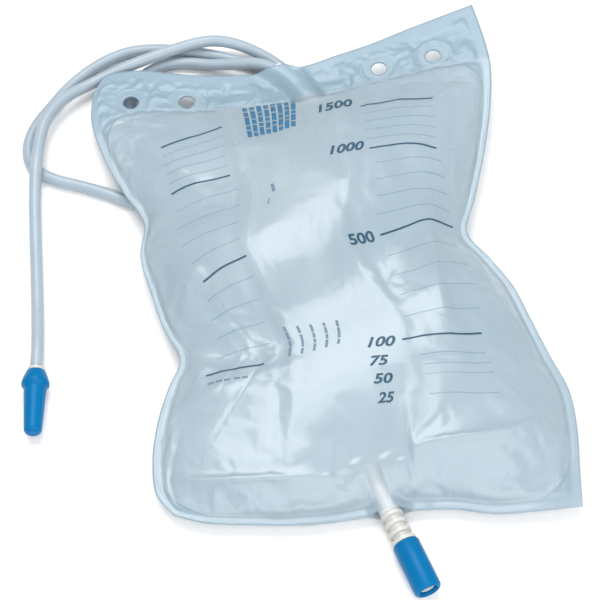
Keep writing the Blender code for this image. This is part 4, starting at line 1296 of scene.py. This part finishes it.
# %% Film finish
RIB_STRETCH = (1300.0, 45.0, 1.0)
GRAIN_SCALE, CRINKLE_SCALE, HAZE_SCALE = 1500.0, 120.0, 16.0
CRINKLE_REACH = 15.0
WELD_LINE, FAINT_WELD_LINE = (0.3, 0.8), (3.4, 0.7)  # place and width
OUTER_RING, INNER_RING = (9.3, 0.9), (5.3, 0.8)
RIB_RELIEF, GRAIN_RELIEF, LINE_RELIEF, CRINKLE_RELIEF = 0.085, 0.02, 0.2, 1.6
WELD_TONE_AND_PAINTED_SHADE, PAINTED_LINE_HIGHLIGHT = (0.28, 0.43, 0.535), (0.80, 0.88, 0.93)


def film_finish(name, colour, dusk, alpha):
    """Film of a colour that turns to its dusk in hazy patches, with its welds and its relief. The welds
    get a darker tint with painted shade in the header, and the weld lines a painted highlight.
    """
    finish = Finish(
        name, colour, Roughness=0.36, Alpha=alpha, Coat_Weight=0.8, Coat_Roughness=0.13,
        Specular_IOR_Level=0.8,
    )
    flat, u, v = finish.on_film()
    x, y = u * FLAT_WIDTH, v * FLAT_HEIGHT
    pocket, above = pocket_place(u, x, y)
    welded = (pocket / WELD_EDGE).clamped()
    in_header = ((above + HEADER_EDGE) / HEADER_FADE).clamped()
    hole = from_hole(x, y)
    lines = line_at(pocket, *WELD_LINE).most(line_at(pocket, *FAINT_WELD_LINE) * 0.6)
    lines = lines.most(line_at(hole, *OUTER_RING)).most(line_at(hole, *INNER_RING))
    ribs = finish.noise(flat, 1.0, 0.0, RIB_STRETCH)
    grain = finish.noise(flat, GRAIN_SCALE, 0.0)
    haze = finish.noise(flat, HAZE_SCALE, 1.0)
    beside_weld = (1.0 - abs(pocket) / CRINKLE_REACH).clamped()
    crinkle = finish.noise(flat, CRINKLE_SCALE, 1.5) * beside_weld * beside_weld
    # The welds turn a darker blue, most of all in the header: partly the welded film's own tone, partly
    # painted shade that darkens the header.
    body = finish.blend((in_header * 0.8).most(welded * 0.4), finish.blend(haze, dusk, colour), WELD_TONE_AND_PAINTED_SHADE)
    # The weld lines and hole rings are lightened a little: a painted highlight on the pressed lines.
    finish.set(Base_Color=finish.blend(lines * 0.16, body, PAINTED_LINE_HIGHLIGHT))
    finish.set(Roughness=haze * 0.12 + 0.28 + in_header * 0.08, Coat_Weight=0.8 - in_header * 0.55)
    finish.set(Alpha=in_header * 0.12 + (alpha + 0.005) - over_stub(x, y) * 0.3)
    relief = (ribs * RIB_RELIEF + grain * GRAIN_RELIEF) * (1.0 - welded * 0.5)
    finish.bump(relief + lines * LINE_RELIEF + crinkle * CRINKLE_RELIEF)
    return finish.material


def wear(thing, material):
    thing.data.materials.clear()
    thing.data.materials.append(material)


wear(front_film, film_finish("front_film_finish", (0.495, 0.615, 0.69), (0.415, 0.54, 0.625), 0.48))
wear(back_film, film_finish("back_film_finish", (0.48, 0.60, 0.675), (0.41, 0.535, 0.62), 0.50))

# %% [markdown]
# ## Leaf, tube and plastics
# The leaves have the film's haze and a pressed seam along each side, lightened with a painted
# highlight. The tube and the mouldings get what such plastics show from close by: a slight
# cloudiness, a fine moulded grain, and gloss that isn't quite even.

# %% Leaf finish
LEAF_TINT, LEAF_CLOUD, PAINTED_SEAM_HIGHLIGHT = (0.74, 0.83, 0.89), (0.84, 0.91, 0.95), (0.95, 0.98, 0.99)
LEAF_STRETCH = (420.0, 12.0, 1.0)
SEAM_LINE, INNER_SEAM_LINE = (0.6, 0.7), (3.2, 0.6)


def leaf_finish():
    finish = Finish("leaf_finish", (0.66, 0.76, 0.83), Roughness=0.5, Alpha=0.2)
    flat, u, _ = finish.on_film()
    left, right = (edge * FLAT_WIDTH for edge in VALVE)
    inside = (right - left) / 2 - abs(u * FLAT_WIDTH - (left + right) / 2)
    seam = line_at(inside, *SEAM_LINE).most(line_at(inside, *INNER_SEAM_LINE) * 0.8)
    cloud = finish.noise(flat, 1.0, 2.0, LEAF_STRETCH)
    # The seams are nearly white: a painted highlight on the strip's pressed edges.
    finish.set(Base_Color=finish.blend(seam, finish.blend(cloud, LEAF_TINT, LEAF_CLOUD), PAINTED_SEAM_HIGHLIGHT))
    finish.set(Alpha=seam * 0.5 + 0.18)
    finish.bump(cloud * 0.04 + seam * 0.1)
    return finish.material


for leaf in leaves:
    wear(leaf, leaf_finish())


# %% Plastics, rubber and ink
CLOUD_SCALE, GLOSS_SCALE, MOULD_SCALE, INK_SCALE = 90.0, 240.0, 1600.0, 700.0
GLOSS_RANGE = 0.14


def plastic_finish(name, colour, shade, roughness, grain=0.012, **numbers):
    """Moulded plastic: cloudy by a shade, with a fine grain and slightly uneven gloss."""
    finish = Finish(name, colour, **numbers)
    place = finish.place()
    cloud = finish.noise(place, CLOUD_SCALE, 3.0)
    finish.set(Base_Color=finish.blend(cloud, shade, colour))
    gloss = finish.noise(place, GLOSS_SCALE)
    finish.set(Roughness=gloss * GLOSS_RANGE + (roughness - GLOSS_RANGE / 2))
    finish.bump(finish.noise(place, MOULD_SCALE) * grain)
    return finish.material


soft_tube = plastic_finish("tube_finish", (0.39, 0.47, 0.535), (0.315, 0.395, 0.46), 0.34, 0.006)
blue = plastic_finish(
    "blue_plastic_finish", (0.0, 0.165, 0.40), (0.0, 0.135, 0.34), 0.3, Specular_IOR_Level=0.12
)
white = plastic_finish("white_plastic_finish", (0.62, 0.62, 0.59), (0.55, 0.555, 0.53), 0.35)
clear = plastic_finish("clear_plastic_finish", (0.93, 0.95, 0.96), (0.87, 0.91, 0.93), 0.16, Alpha=0.7)
rubber = plastic_finish("seal_rubber_finish", (0.05, 0.055, 0.06), (0.035, 0.04, 0.045), 0.6)


def ink_finish(name, dark, light, alpha):
    """Ink on soft film: darker where it lies thick, and a little worn."""
    finish = Finish(name, dark, Roughness=0.45, Alpha=alpha)
    worn = finish.noise(finish.place(), INK_SCALE, 3.0)
    finish.set(Base_Color=finish.blend(worn, dark, light))
    return finish.material


dark_ink = ink_finish("dark_ink_finish", (0.010, 0.062, 0.115), (0.022, 0.095, 0.16), 0.95)
blue_ink = ink_finish("blue_ink_finish", (0.018, 0.13, 0.28), (0.05, 0.23, 0.42), 0.85)
grey_ink = ink_finish("grey_ink_finish", (0.16, 0.27, 0.38), (0.24, 0.36, 0.47), 0.45)
pale_ink = ink_finish("pale_ink_finish", (0.22, 0.36, 0.48), (0.28, 0.43, 0.54), 0.19)

seals = [bpy.data.objects[f"outlet_seal_{end}"] for end in ("upper", "lower")]
for things, material in (
    ([tube], soft_tube), ([cap, sleeve], blue), ([connector, stem], white), ([collar, stub], clear),
    (seals, rubber), ([scale_print], dark_ink), ([dash_print], blue_ink), ([low_dashes], grey_ink),
    ([faint_print], pale_ink),
):
    for thing in things:
        wear(thing, material)

# %% [markdown]
# ## Table and light
# The table is pale and the light soft, as in a studio. A large light behind the bag gives the film
# its broad gloss below the fold, and one in front lights the near slope.

# %% Table
TABLE_SIZE, TABLE_DROP = 12.0, 0.2 * MM
TABLE_TINT, WHITE = (0.8, 0.8, 0.8), (1.0, 1.0, 1.0)
bpy.ops.mesh.primitive_plane_add(size=TABLE_SIZE, location=(0.0, 0.0, -TABLE_DROP))
floor = bpy.context.object
floor.name = "table"
floor_finish = Finish("table_finish", TABLE_TINT, Roughness=0.9)
paths = floor_finish.tree.nodes.new("ShaderNodeLightPath")
camera_ray, glossy_ray, clear_ray = (
    Wire(floor_finish, paths.outputs[ray])
    for ray in ("Is Camera Ray", "Is Glossy Ray", "Is Transmission Ray")
)
seen = camera_ray.most(glossy_ray).most(clear_ray)
floor_finish.set(Base_Color=floor_finish.blend(seen, TABLE_TINT, WHITE))
wear(floor, floor_finish.material)

# %% Light
WORLD_ON_BAG, WORLD_SEEN = 0.5, 1.0
world = bpy.data.worlds.new("studio")
bpy.context.scene.world = world
world.use_nodes = True
sky = world.node_tree.nodes["Background"]
sky.inputs["Color"].default_value = (1.0, 1.0, 1.0, 1.0)
path = world.node_tree.nodes.new("ShaderNodeLightPath")
strength = world.node_tree.nodes.new("ShaderNodeMapRange")
strength.inputs["To Min"].default_value = WORLD_ON_BAG
strength.inputs["To Max"].default_value = WORLD_SEEN
world.node_tree.links.new(path.outputs["Is Camera Ray"], strength.inputs["Value"])
world.node_tree.links.new(strength.outputs["Result"], sky.inputs["Strength"])


def softbox(name, azimuth, elevation, distance, size, power):
    """A square area light that faces the bag, its angles in degrees and its sides in metres."""
    away = from_bag(azimuth, elevation)
    bpy.ops.object.light_add(type="AREA", location=away * distance)
    lamp = bpy.context.object
    lamp.name = name
    lamp.rotation_euler = facing(away)
    lamp.data.size = size
    lamp.data.energy = power


softbox("back_softbox", -168.0, 66.0, distance=1.3, size=0.8, power=11.5)
softbox("front_softbox", 10.0, 44.0, distance=1.4, size=1.5, power=16.0)
bpy.context.scene.view_settings.view_transform = "Standard"

# %% [markdown]
# ## Each piece on its body
# The CAD model has three bodies: the bag, the cap that pulls off, and the sleeve that slides. Each
# piece says which CAD piece it stands for, and which body it moves with.

# %% Bodies, with finish slots that nothing reads
for piece, node, body, finish_slot in (
    (front_film, "front_film", BAG, "front_film"),
    (back_film, "back_film", BAG, "back_film"),
    (leaves[0], "valve_front_leaf", BAG, "valve_leaf"),
    (leaves[1], "valve_back_leaf", BAG, "valve_leaf"),
    (tube, "inlet_tube", BAG, "tube"),
    (collar, "inlet_port", BAG, "clear_plastic"),
    (stub, "outlet_stub", BAG, "clear_plastic"),
    (connector, "inlet_connector", BAG, "white_plastic"),
    (stem, "outlet_valve_stem", BAG, "white_plastic"),
    (cap, "inlet_cap", CAP_BODY, "blue_plastic"),
    (sleeve, "outlet_valve_sleeve", SLEEVE_BODY, "blue_plastic"),
):
    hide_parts(node)
    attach(piece, body)
for piece in prints:
    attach(piece, BAG)
